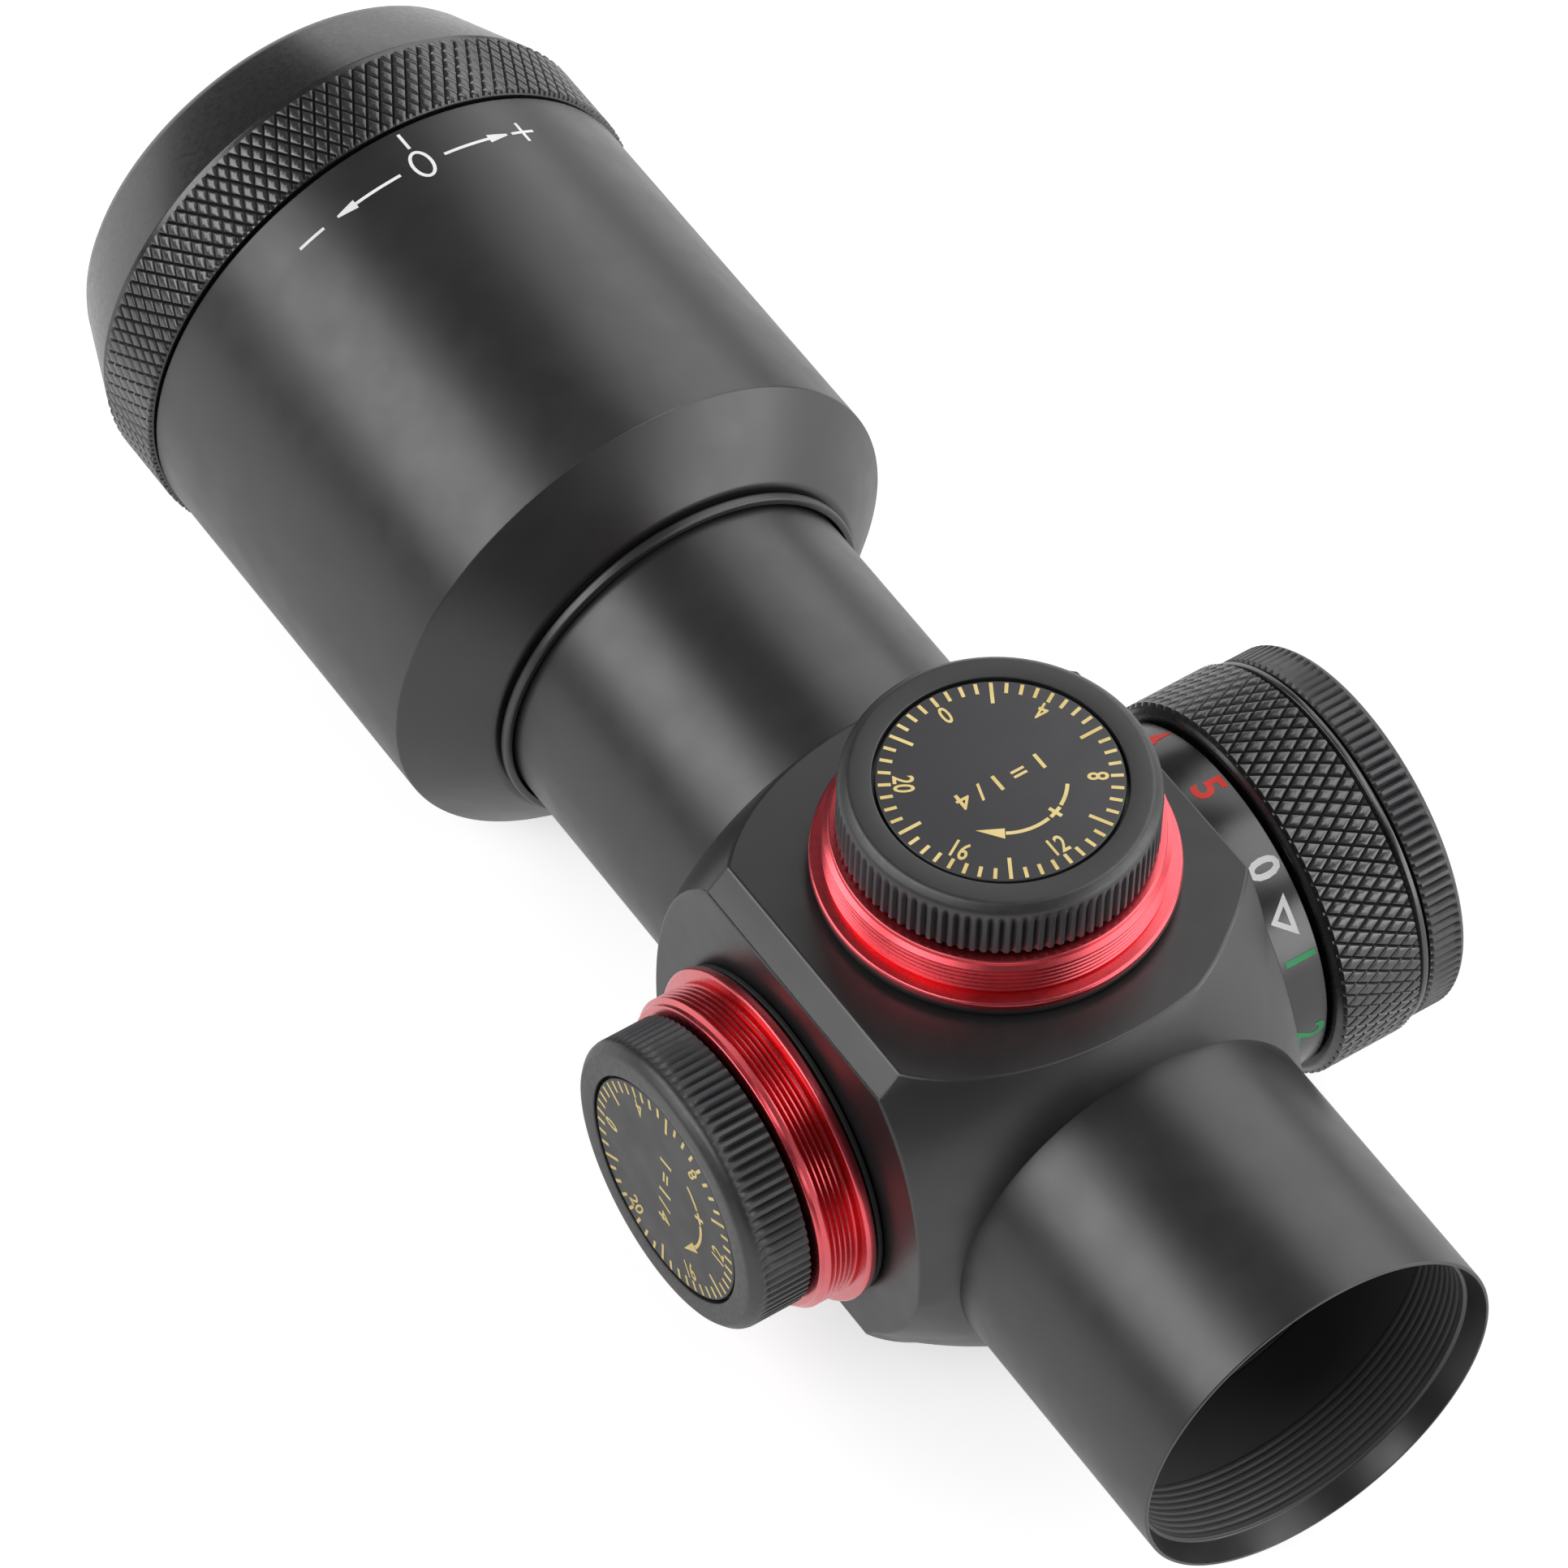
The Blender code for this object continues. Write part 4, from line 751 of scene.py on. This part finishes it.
# Turrets: on each a red anodised base with a thread round it screws into the saddle over a rubber gasket.
# A brass spindle clicks round in it and drives a steel plunger. A ribbed black cap with a printed dial is
# screwed on the spindle.
TURRETS = (
    ("elevation", Matrix.Identity(4), TOP_FLAT),
    ("windage", Matrix.Rotation(QUARTER, 4, "Y"), RIGHT_FLAT),
)
GASKET_IN, GASKET_OUT = 6.0, 13.2
STEM_R = 5.7
STEM_DEPTH = 3.4
STEM_BORE_R = 4.0
FLANGE_R = 13.4
BASE_R = 12.1
BASE_HEIGHT = 4.1
BASE_FLOOR = 0.6
BASE_WELL_R = 9.0
BASE_CREST_R = 12.48
BASE_THREAD_LOW = 1.25
BASE_THREAD_TURNS = 6
BASE_THREAD_PITCH = 0.44
CAP_R = 11.6
CAP_HEIGHT = 5.1
CAP_RIBS = 90
CAP_RIB_LOW, CAP_RIB_HIGH = 0.15, 4.05
SOCKET_R = 4.3
SOCKET_DEPTH = 2.2
SCREW_R = 1.5
SCREW_HEAD_R = 3.2
SCREW_WELL = 1.85
DIAL_WELL_R = 9.15
DIAL_WELL = 0.95
DIAL_R = 8.9
DIAL_LOW, DIAL_TOP = 0.75, 0.1
RIB_PROFILE = (1.0, 0.5, 0.0, 0.0, 0.0, 0.5)
RIB_DEPTH = 0.36
RIB_RUN_OUT = 0.25
RIB_END = 0.15


def ribs(bm, radius, low, high, count):
    """Sinks rounded grooves that run out at a band's upper end, and keeps how high each point stands."""
    tip = bm.verts.layers.float.new("tip")
    columns = len(RIB_PROFILE)
    for vert in bm.verts:
        if not on_band(vert, radius, low, high):
            continue
        column = round(math.atan2(vert.co.y, vert.co.x) / FULL_TURN * count * columns) % columns
        across = RIB_PROFILE[column]
        along = min(1.0, (high - vert.co.z / MM) / (high - low) / RIB_RUN_OUT + RIB_END)
        vert[tip] = 1.0 - across
        press(vert, RIB_DEPTH * across * along)


def red_anodised(name, axis):
    """Turned aluminium dyed red: a sheen that spreads across the tool marks, under the clear oxide skin."""
    material, tree, shader, place = finish(name, metallic=1.0)
    shader.inputs["Coat Weight"].default_value = 1.0
    shader.inputs["Coat Roughness"].default_value = 0.24
    shader.inputs["Coat IOR"].default_value = 1.75
    shader.inputs["Anisotropic"].default_value = 0.35
    shader.inputs["Anisotropic Rotation"].default_value = 0.25
    dye = tones(tree, noise(tree, place, spot=5.0), dark=(0.7, 0.028, 0.048), light=(0.82, 0.042, 0.068))
    tree.links.new(dye, shader.inputs["Base Color"])
    tree.links.new(spread(tree, noise(tree, place, spot=0.6), 0.26, 0.32), shader.inputs["Roughness"])
    around = tree.nodes.new("ShaderNodeVectorMath")
    around.operation = "CROSS_PRODUCT"
    around.inputs[0].default_value = axis
    tree.links.new(place, around.inputs[1])
    to_world = tree.nodes.new("ShaderNodeVectorTransform")
    to_world.convert_from = "OBJECT"
    to_world.convert_to = "WORLD"
    tree.links.new(around.outputs["Vector"], to_world.inputs["Vector"])
    tree.links.new(to_world.outputs["Vector"], shader.inputs["Tangent"])
    emboss(tree, shader, noise(tree, place, spot=2.0, detail=0.0), height=0.01, strength=0.1)
    return material


FIGURE_SHARE = 0.7


def figures(text, tall, slim, bold):
    """Plain figures as a flat mesh with a little depth, centred on the origin."""
    curve = bpy.data.curves.new("figures", "FONT")
    curve.body = text
    curve.align_x = "CENTER"
    curve.align_y = "CENTER"
    curve.size = tall / FIGURE_SHARE * MM
    curve.resolution_u = 3
    curve.offset = bold * tall * MM
    curve.extrude = MARK_DEPTH / 2
    holder = bpy.data.objects.new("figures", curve)
    bpy.context.collection.objects.link(holder)
    bpy.context.view_layer.update()
    mesh = bpy.data.meshes.new_from_object(holder.evaluated_get(bpy.context.evaluated_depsgraph_get()))
    bm = bmesh.new()
    bm.from_mesh(mesh)
    bpy.data.objects.remove(holder)
    bpy.data.curves.remove(curve)
    bpy.data.meshes.remove(mesh)
    bmesh.ops.remove_doubles(bm, verts=bm.verts, dist=SAME_POINT)
    bmesh.ops.scale(bm, vec=(slim, 1.0, 1.0), verts=bm.verts)
    bmesh.ops.translate(bm, vec=(0.0, 0.0, MARK_DEPTH / 2), verts=bm.verts)
    return bm


def arc_line(radius, width, first, last):
    """Part of a circle drawn as a line, between two turns in degrees."""
    turns = [math.radians(first + (last - first) * i / 10) for i in range(11)]
    far, near = radius + width / 2, radius - width / 2
    outer = [(far * math.cos(a), far * math.sin(a)) for a in turns]
    inner = [(near * math.cos(a), near * math.sin(a)) for a in reversed(turns)]
    return cut_out(outer + inner)


DIAL_TICKS = 48
TICKS_TO_FIGURE = 8
TICK_END_R = 8.72
TICK_WIDE = 0.27
TICK_LONG, TICK_SHORT = 1.85, 0.92
DIAL_FIGURE_R = 6.98
ARROW_R = 4.7
ARROW_WIDE = 0.28
ARROW_HEAD = [(2.7, 4.42), (2.22, 3.66), (4.05, 2.7)]
SIGN_TURN = 1.92
SIGN_LEAN = 0.35
SIGN_REACH, SIGN_HALF = 0.55, 0.14


def dial_print():
    """Scale, figures and turning arrow of a dial, drawn flat."""
    parts = []
    for tick in range(DIAL_TICKS):
        turn = -QUARTER - FULL_TURN * tick / DIAL_TICKS
        length = TICK_LONG if tick % TICKS_TO_FIGURE == TICKS_TO_FIGURE // 2 else TICK_SHORT
        middle = TICK_END_R - length / 2
        parts.append(bar(length, TICK_WIDE, turn, middle * math.cos(turn), middle * math.sin(turn)))
        if tick % TICKS_TO_FIGURE == 0:
            figure = figures(str(tick // 2), tall=1.5, slim=0.72, bold=0.02)
            lie = Matrix.Rotation(turn + QUARTER, 4, "Z")
            figure.transform(Matrix.Translation(lie @ Vector((0.0, -DIAL_FIGURE_R * MM, 0.0))) @ lie)
            parts.append(figure)
    parts.append(figures("1 = 1 / 4", tall=1.4, slim=1.1, bold=0.02))
    parts.append(arc_line(ARROW_R, ARROW_WIDE, first=143.0, last=119.0))
    parts.append(arc_line(ARROW_R, ARROW_WIDE, first=101.0, last=59.5))
    parts.append(cut_out(ARROW_HEAD))
    far, near = SIGN_REACH, SIGN_HALF
    sign = [(far, near), (near, near), (near, far), (-near, far), (-near, near), (-far, near)]
    sign += [(-x, -y) for x, y in sign]
    parts.append(cut_out(sign, SIGN_LEAN, ARROW_R * math.cos(SIGN_TURN), ARROW_R * math.sin(SIGN_TURN)))
    return gather(parts)


# The ribs' crests get a painted highlight on top of some rubbing wear.
black_cap = rubbed_with_painted_highlight(
    "black_cap",
    ior=ANODISED_IOR,
    dark=(0.013, 0.013, 0.014),
    light=(0.036, 0.036, 0.04),
    smooth=0.38,
    rough=0.47,
)
dial_face = anodised(
    "dial_face",
    dark=(0.015, 0.015, 0.018),
    light=(0.021, 0.021, 0.025),
    smooth=0.45,
    rough=0.55,
    grain=0.08,
)
gold_paint = paint("gold_paint", dark=(0.66, 0.5, 0.18), light=(0.78, 0.62, 0.27))
for side, axis, flat in TURRETS:
    low, top = flat + 0.2, flat + 0.6
    seat = lathe(
        outline(
            (GASKET_IN, low, 0.0),
            (GASKET_OUT, low, 0.1),
            (GASKET_OUT, top, 0.15),
            (GASKET_IN, top, 0.0),
        ),
        steps=128,
    )
    seat.transform(axis)
    fit(side + "_seat", seat, rubber, "housing", [side + "_gasket"])

    low = flat + 0.8
    top = low + BASE_HEIGHT
    thread = []
    for turn in range(BASE_THREAD_TURNS):
        crest = low + BASE_THREAD_LOW + BASE_THREAD_PITCH * turn
        thread.append((BASE_R + 0.02, crest - 0.21, 0.0))
        thread.append((BASE_CREST_R, crest - 0.06, 0.0))
        thread.append((BASE_CREST_R, crest + 0.05, 0.0))
    base = lathe(
        outline(
            (STEM_BORE_R, flat - STEM_DEPTH, 0.0),
            (STEM_R, flat - STEM_DEPTH, 0.2),
            (STEM_R, low, 0.0),
            (FLANGE_R, low, 0.25),
            (FLANGE_R, low + 0.8, 0.25),
            (BASE_R + 0.05, low + 0.9, 0.12),
            *thread,
            (BASE_R, low + 3.72, 0.0),
            (BASE_R, top, 0.15),
            (BASE_WELL_R, top, 0.1),
            (BASE_WELL_R, low + BASE_FLOOR, 0.0),
            (STEM_BORE_R, low + BASE_FLOOR, 0.0),
        ),
        steps=192,
    )
    base.transform(axis)
    red_base = red_anodised(side + "_red", axis.col[2][:3])
    fit(side + "_ring", base, red_base, "housing", [side + "_base"])

    dress(brass, side + "_spindle")
    dress(steel, side + "_plunger", side + "_cap_screw", side + "_click_ball", side + "_click_spring")

    low = flat + 5.2
    top = low + CAP_HEIGHT
    rib_low, rib_high = low + CAP_RIB_LOW, low + CAP_RIB_HIGH
    rows = [(CAP_R, rib_low + (rib_high - rib_low) * share, 0.0) for share in (0.0, 0.35, 0.7, 0.8, 0.9, 1.0)]
    cap = lathe(
        outline(
            (SOCKET_R, low, 0.0),
            (CAP_R - 0.35, low, 0.05),
            *rows,
            (CAP_R - 0.1, low + 4.5, 0.25),
            (CAP_R - 0.7, top, 0.22),
            (DIAL_WELL_R, top, 0.12),
            (DIAL_WELL_R, top - DIAL_WELL, 0.0),
            (SCREW_HEAD_R, top - DIAL_WELL, 0.0),
            (SCREW_HEAD_R, top - SCREW_WELL, 0.0),
            (SCREW_R, top - SCREW_WELL, 0.0),
            (SCREW_R, low + SOCKET_DEPTH, 0.0),
            (SOCKET_R, low + SOCKET_DEPTH, 0.0),
        ),
        steps=CAP_RIBS * len(RIB_PROFILE),
    )
    ribs(cap, CAP_R, rib_low, rib_high, CAP_RIBS)
    cap.transform(axis)
    knob = side + "_knob"
    fit(side + "_ribbed_cap", cap, black_cap, knob, [side + "_cap"], sharp=25)

    plate = lathe(
        outline(
            (0.0, top - DIAL_LOW, 0.0),
            (DIAL_R, top - DIAL_LOW, 0.05),
            (DIAL_R, top - DIAL_TOP, 0.12),
            (0.0, top - DIAL_TOP, 0.0),
        ),
        steps=144,
    )
    plate.transform(axis)
    fit(side + "_plate", plate, dial_face, knob, [side + "_dial"])
    printed = dial_print()
    printed.transform(axis @ Matrix.Translation((0.0, 0.0, (top - DIAL_TOP) * MM)))
    fit(side + "_print", printed, gold_paint, knob)

# Illumination knob: a number sleeve and a knurled grip turn together on a hub that is screwed to the saddle's
# left flat. The circuit board and coin cell sit inside, under a ribbed cap that unscrews with a coin.
KNOB = Matrix.Rotation(-QUARTER, 4, "Y")
SLEEVE_R = 14.0
SLEEVE_LOW, SLEEVE_TOP = 15.5, 20.7
SLEEVE_WEB_LOW, SLEEVE_WEB_TOP = 16.7, 18.0
HUB_FLANGE_R = 10.7
HUB_STEM_R = 8.3
FOOT_WELL_R = 12.3
KNOB_FIGURE_LINE = 18.95
dress(black_ring, "illumination_hub")
dress(steel, "hub_clip")
sleeve = lathe(
    outline(
        (HUB_FLANGE_R, SLEEVE_LOW, 0.0),
        (SLEEVE_R, SLEEVE_LOW, 0.2),
        (SLEEVE_R, SLEEVE_TOP, 0.12),
        (FOOT_WELL_R, SLEEVE_TOP, 0.1),
        (FOOT_WELL_R, SLEEVE_WEB_TOP, 0.0),
        (HUB_STEM_R, SLEEVE_WEB_TOP, 0.0),
        (HUB_STEM_R, SLEEVE_WEB_LOW, 0.0),
        (HUB_FLANGE_R, SLEEVE_WEB_LOW, 0.0),
    ),
    steps=160,
)
sleeve.transform(KNOB)
satin_black = anodised(
    "satin_black",
    dark=(0.007, 0.007, 0.0075),
    light=(0.011, 0.011, 0.0115),
    smooth=0.2,
    rough=0.26,
    grain=0.1,
)
fit("number_band", sleeve, satin_black, "brightness_knob", ["number_sleeve"])

red_paint = paint("red_paint", dark=(0.78, 0.03, 0.02), light=(0.9, 0.05, 0.035))
green_paint = paint("green_paint", dark=(0.02, 0.3, 0.1), light=(0.035, 0.38, 0.14))
settings = (
    ("red_figures", red_paint, [("5", 0), ("4", -30), ("3", -60), ("2", -90), ("1", -120)]),
    ("green_figures", green_paint, [("1", 60), ("2", 90), ("3", 120), ("4", 150), ("5", 180)]),
    ("zero_figure", white_paint, [("0", 30)]),
)
for name, colour, row in settings:
    parts = []
    for text, turn in row:
        figure = figures(text, tall=2.5, slim=0.95, bold=0.035)
        parts.append(roll(figure, SLEEVE_R, math.radians(turn), KNOB_FIGURE_LINE))
    if name == "zero_figure":
        pointer = hoop(wide=3.9, tall=2.5, stroke=0.4, sides=3)
        pointer.transform(Matrix.Rotation(math.pi, 4, "Z"))
        parts.append(roll(pointer, SLEEVE_R, math.radians(46), KNOB_FIGURE_LINE))
    whole = gather(parts)
    whole.transform(KNOB)
    fit(name, whole, colour, "brightness_knob")

board = moulded(
    "board_lacquer",
    dark=(0.012, 0.1, 0.035),
    light=(0.025, 0.15, 0.06),
    smooth=0.3,
    rough=0.45,
    grain=0.6,
    height=0.01,
)
dress(board, "circuit_board")
dress(brass, "contact_spring")
dress(steel, "coin_cell")

GRIP_R = 15.2
GRIP_KNURLS = 80
GRIP_LOW, GRIP_HIGH = 21.6, 28.2
GRIP_FACE, GRIP_TOP = 21.0, 29.2
GRIP_FOOT = 18.7
GRIP_FOOT_R = 12.0
CELL_WELL_R = 10.4
SEAL_WELL_R = 11.4
SEAL_WELL = 28.3
grip = lathe(
    outline(
        (CELL_WELL_R, GRIP_FOOT, 0.0),
        (GRIP_FOOT_R, GRIP_FOOT, 0.2),
        (GRIP_FOOT_R, GRIP_FACE, 0.0),
        (GRIP_R - 0.7, GRIP_FACE, 0.2),
        (GRIP_R - 0.35, GRIP_FACE + 0.4, 0.1),
        *knurl_band(GRIP_R, GRIP_LOW, GRIP_HIGH),
        (GRIP_R - 0.4, GRIP_HIGH + 0.15, 0.0),
        (GRIP_R - 0.6, GRIP_HIGH + 0.35, 0.0),
        (GRIP_R - 0.3, GRIP_HIGH + 0.5, 0.1),
        (GRIP_R - 0.3, GRIP_TOP, 0.2),
        (SEAL_WELL_R, GRIP_TOP, 0.1),
        (SEAL_WELL_R, SEAL_WELL, 0.0),
        (CELL_WELL_R, SEAL_WELL, 0.0),
    ),
    steps=GRIP_KNURLS * KNURL_SAMPLES,
)
knurl(grip, GRIP_R, GRIP_LOW, GRIP_HIGH, GRIP_KNURLS)
grip.transform(KNOB)
fit("knurled_grip", grip, black_knurl, "brightness_knob", ["grip_ring"])

LID_R = 14.8
LID_RIBS = 112
LID_RIB_LOW, LID_RIB_HIGH = 29.75, 32.2
LID_LOW, LID_TOP = 29.5, 32.7
PLUG_R = 10.1
PLUG_LOW = 27.4
SLOT_REACH, SLOT_HALF = 8.5, 0.9
SLOT_DEPTH = 1.0
rib_run = LID_RIB_HIGH - LID_RIB_LOW
lid_rows = [(LID_R, LID_RIB_LOW + rib_run * share, 0.0) for share in (0.0, 0.4, 0.75, 0.87, 1.0)]
lid = lathe(
    outline(
        (0.0, PLUG_LOW, 0.0),
        (PLUG_R, PLUG_LOW, 0.15),
        (PLUG_R, LID_LOW, 0.0),
        (LID_R - 0.3, LID_LOW, 0.1),
        *lid_rows,
        (LID_R - 0.1, LID_TOP - 0.3, 0.1),
        (LID_R - 0.4, LID_TOP, 0.15),
        (0.0, LID_TOP, 0.0),
    ),
    steps=LID_RIBS * len(RIB_PROFILE),
)
ribs(lid, LID_R, LID_RIB_LOW, LID_RIB_HIGH, LID_RIBS)


def on_lid_top(face):
    """Says if a face lies in the lid's flat top."""
    return all(abs(vert.co.z - LID_TOP * MM) < ON_PLANE for vert in face.verts)


for way, reach in ((Vector((1, 0, 0)), SLOT_REACH), (Vector((0, 1, 0)), SLOT_HALF)):
    for side in (1, -1):
        top = [face for face in lid.faces if on_lid_top(face)]
        parts = {part for face in top for part in (*face.verts, *face.edges)}
        at = way * reach * side * MM
        bmesh.ops.bisect_plane(lid, geom=[*parts, *top], dist=SAME_POINT, plane_co=at, plane_no=way)
slot = []
for face in lid.faces:
    middle = face.calc_center_median() / MM
    if on_lid_top(face) and abs(middle.x) < SLOT_REACH and abs(middle.y) < SLOT_HALF:
        slot.append(face)
sunk = bmesh.ops.extrude_face_region(lid, geom=slot)["geom"]
sunk = [part for part in sunk if isinstance(part, bmesh.types.BMVert)]
bmesh.ops.translate(lid, vec=(0.0, 0.0, -SLOT_DEPTH * MM), verts=sunk)
bmesh.ops.delete(lid, geom=[face for face in slot if face.is_valid], context="FACES_ONLY")
bmesh.ops.recalc_face_normals(lid, faces=lid.faces)
lid.transform(KNOB)
fit("battery_lid", lid, black_cap, "battery_cap_turner", ["battery_cap"], sharp=25)
dress(rubber, "battery_cap_seal")

# Studio: a pale floor under the object, six soft boxes round it, a dim even surround and a camera at the
# photograph's place, turned so that the object fills the frame.
FLOOR_LEVEL = -22.2
FLOOR_HALF = 4.0
scene = bpy.context.scene
scene.view_settings.view_transform = "Standard"
world = bpy.data.worlds.new("surround")
world.use_nodes = True
world.node_tree.nodes["Background"].inputs["Color"].default_value = (0.12, 0.12, 0.12, 1.0)
scene.world = world

floor_bm = bmesh.new()
bmesh.ops.create_grid(floor_bm, x_segments=1, y_segments=1, size=FLOOR_HALF)
bmesh.ops.translate(floor_bm, vec=(0.0, 0.0, FLOOR_LEVEL * MM), verts=floor_bm.verts)
floor_mesh = bpy.data.meshes.new("floor")
floor_bm.to_mesh(floor_mesh)
floor_bm.free()
floor = bpy.data.objects.new("floor", floor_mesh)
scene.collection.objects.link(floor)


def combine(tree, operation, *sources):
    """A sum of that kind over sockets and plain numbers."""
    step = tree.nodes.new("ShaderNodeMath")
    step.operation = operation
    for socket, source in zip(step.inputs, sources):
        if isinstance(source, float):
            socket.default_value = source
        else:
            tree.links.new(source, socket)
    return step.outputs["Value"]


# The floor glows for the camera and for what is seen through glass, more so far away, and less in mirrorings.
pale = bpy.data.materials.new("pale_floor")
pale.use_nodes = True
tree = pale.node_tree
tree.nodes.remove(tree.nodes["Principled BSDF"])
sheet = tree.nodes.new("ShaderNodeBsdfDiffuse")
sheet.inputs["Color"].default_value = (0.7, 0.7, 0.7, 1.0)
glow = tree.nodes.new("ShaderNodeEmission")
rays = tree.nodes.new("ShaderNodeLightPath").outputs
away = tree.nodes.new("ShaderNodeVectorMath")
away.operation = "LENGTH"
tree.links.new(tree.nodes.new("ShaderNodeTexCoord").outputs["Object"], away.inputs[0])
far_light = spread(tree, away.outputs["Value"], low=0.6, high=1.0, start=0.3, end=0.9)
seen = combine(tree, "MAXIMUM", rays["Is Camera Ray"], rays["Is Transmission Ray"])
mirrored = combine(tree, "MULTIPLY", rays["Is Glossy Ray"], 0.34)
tree.links.new(combine(tree, "MULTIPLY_ADD", seen, far_light, mirrored), glow.inputs["Strength"])
both = tree.nodes.new("ShaderNodeAddShader")
tree.links.new(sheet.outputs["BSDF"], both.inputs[0])
tree.links.new(glow.outputs["Emission"], both.inputs[1])
tree.links.new(both.outputs["Shader"], tree.nodes["Material Output"].inputs["Surface"])
floor_mesh.materials.append(pale)


def soft_box(name, azimuth, elevation, distance, wide, tall, level):
    """A soft box that faces the object from a direction in degrees, as bright as that level."""
    lamp = bpy.data.lights.new(name, "AREA")
    lamp.shape = "RECTANGLE"
    lamp.size = wide
    lamp.size_y = tall
    lamp.energy = level * math.pi * wide * tall
    holder = bpy.data.objects.new(name, lamp)
    turn, rise = math.radians(azimuth), math.radians(elevation)
    towards = Vector((math.cos(turn) * math.cos(rise), math.sin(turn) * math.cos(rise), math.sin(rise)))
    holder.location = towards * distance
    holder.rotation_euler = towards.to_track_quat("Z", "Y").to_euler()
    scene.collection.objects.link(holder)


# Each row: azimuth and elevation in degrees, then distance, width and height in metres, then brightness.
soft_box("right_box", 325.0, 35.0, 0.7, 0.6, 0.38, 3.5)
soft_box("left_box", 203.0, 35.0, 0.7, 0.6, 0.64, 1.75)
soft_box("top_box", 151.0, 54.0, 0.7, 0.4, 0.4, 2.6)
soft_box("front_box", 136.0, 14.0, 0.6, 0.66, 0.3, 3.3)
soft_box("back_box", 238.0, 8.0, 0.7, 0.35, 0.24, 1.1)
soft_box("near_box", 10.0, 50.0, 0.7, 0.34, 0.3, 4.2)

# The camera looks back along BACK from its distance in metres, with the object's origin a little off centre.
CAMERA_DISTANCE = 0.71927
OFF_UP, OFF_RIGHT = 0.02369, 0.02032
RIGHT = Vector((-0.82119, 0.56920, 0.04068))
UP = Vector((-0.44094, -0.67816, 0.58794))
BACK = Vector((0.36224, 0.46487, 0.80788))
aim = (BACK - OFF_UP * UP + OFF_RIGHT * RIGHT).normalized()
level_axis = UP.cross(aim).normalized()
upright = aim.cross(level_axis)
lens_data = bpy.data.cameras.new("camera")
lens_data.lens = 226.6
lens_data.sensor_width = 36.0
lens_data.clip_start = 0.01
camera = bpy.data.objects.new("camera", lens_data)
turned = Matrix((level_axis, upright, aim)).transposed().to_4x4()
camera.matrix_world = Matrix.Translation(BACK * CAMERA_DISTANCE) @ turned
scene.collection.objects.link(camera)
scene.camera = camera
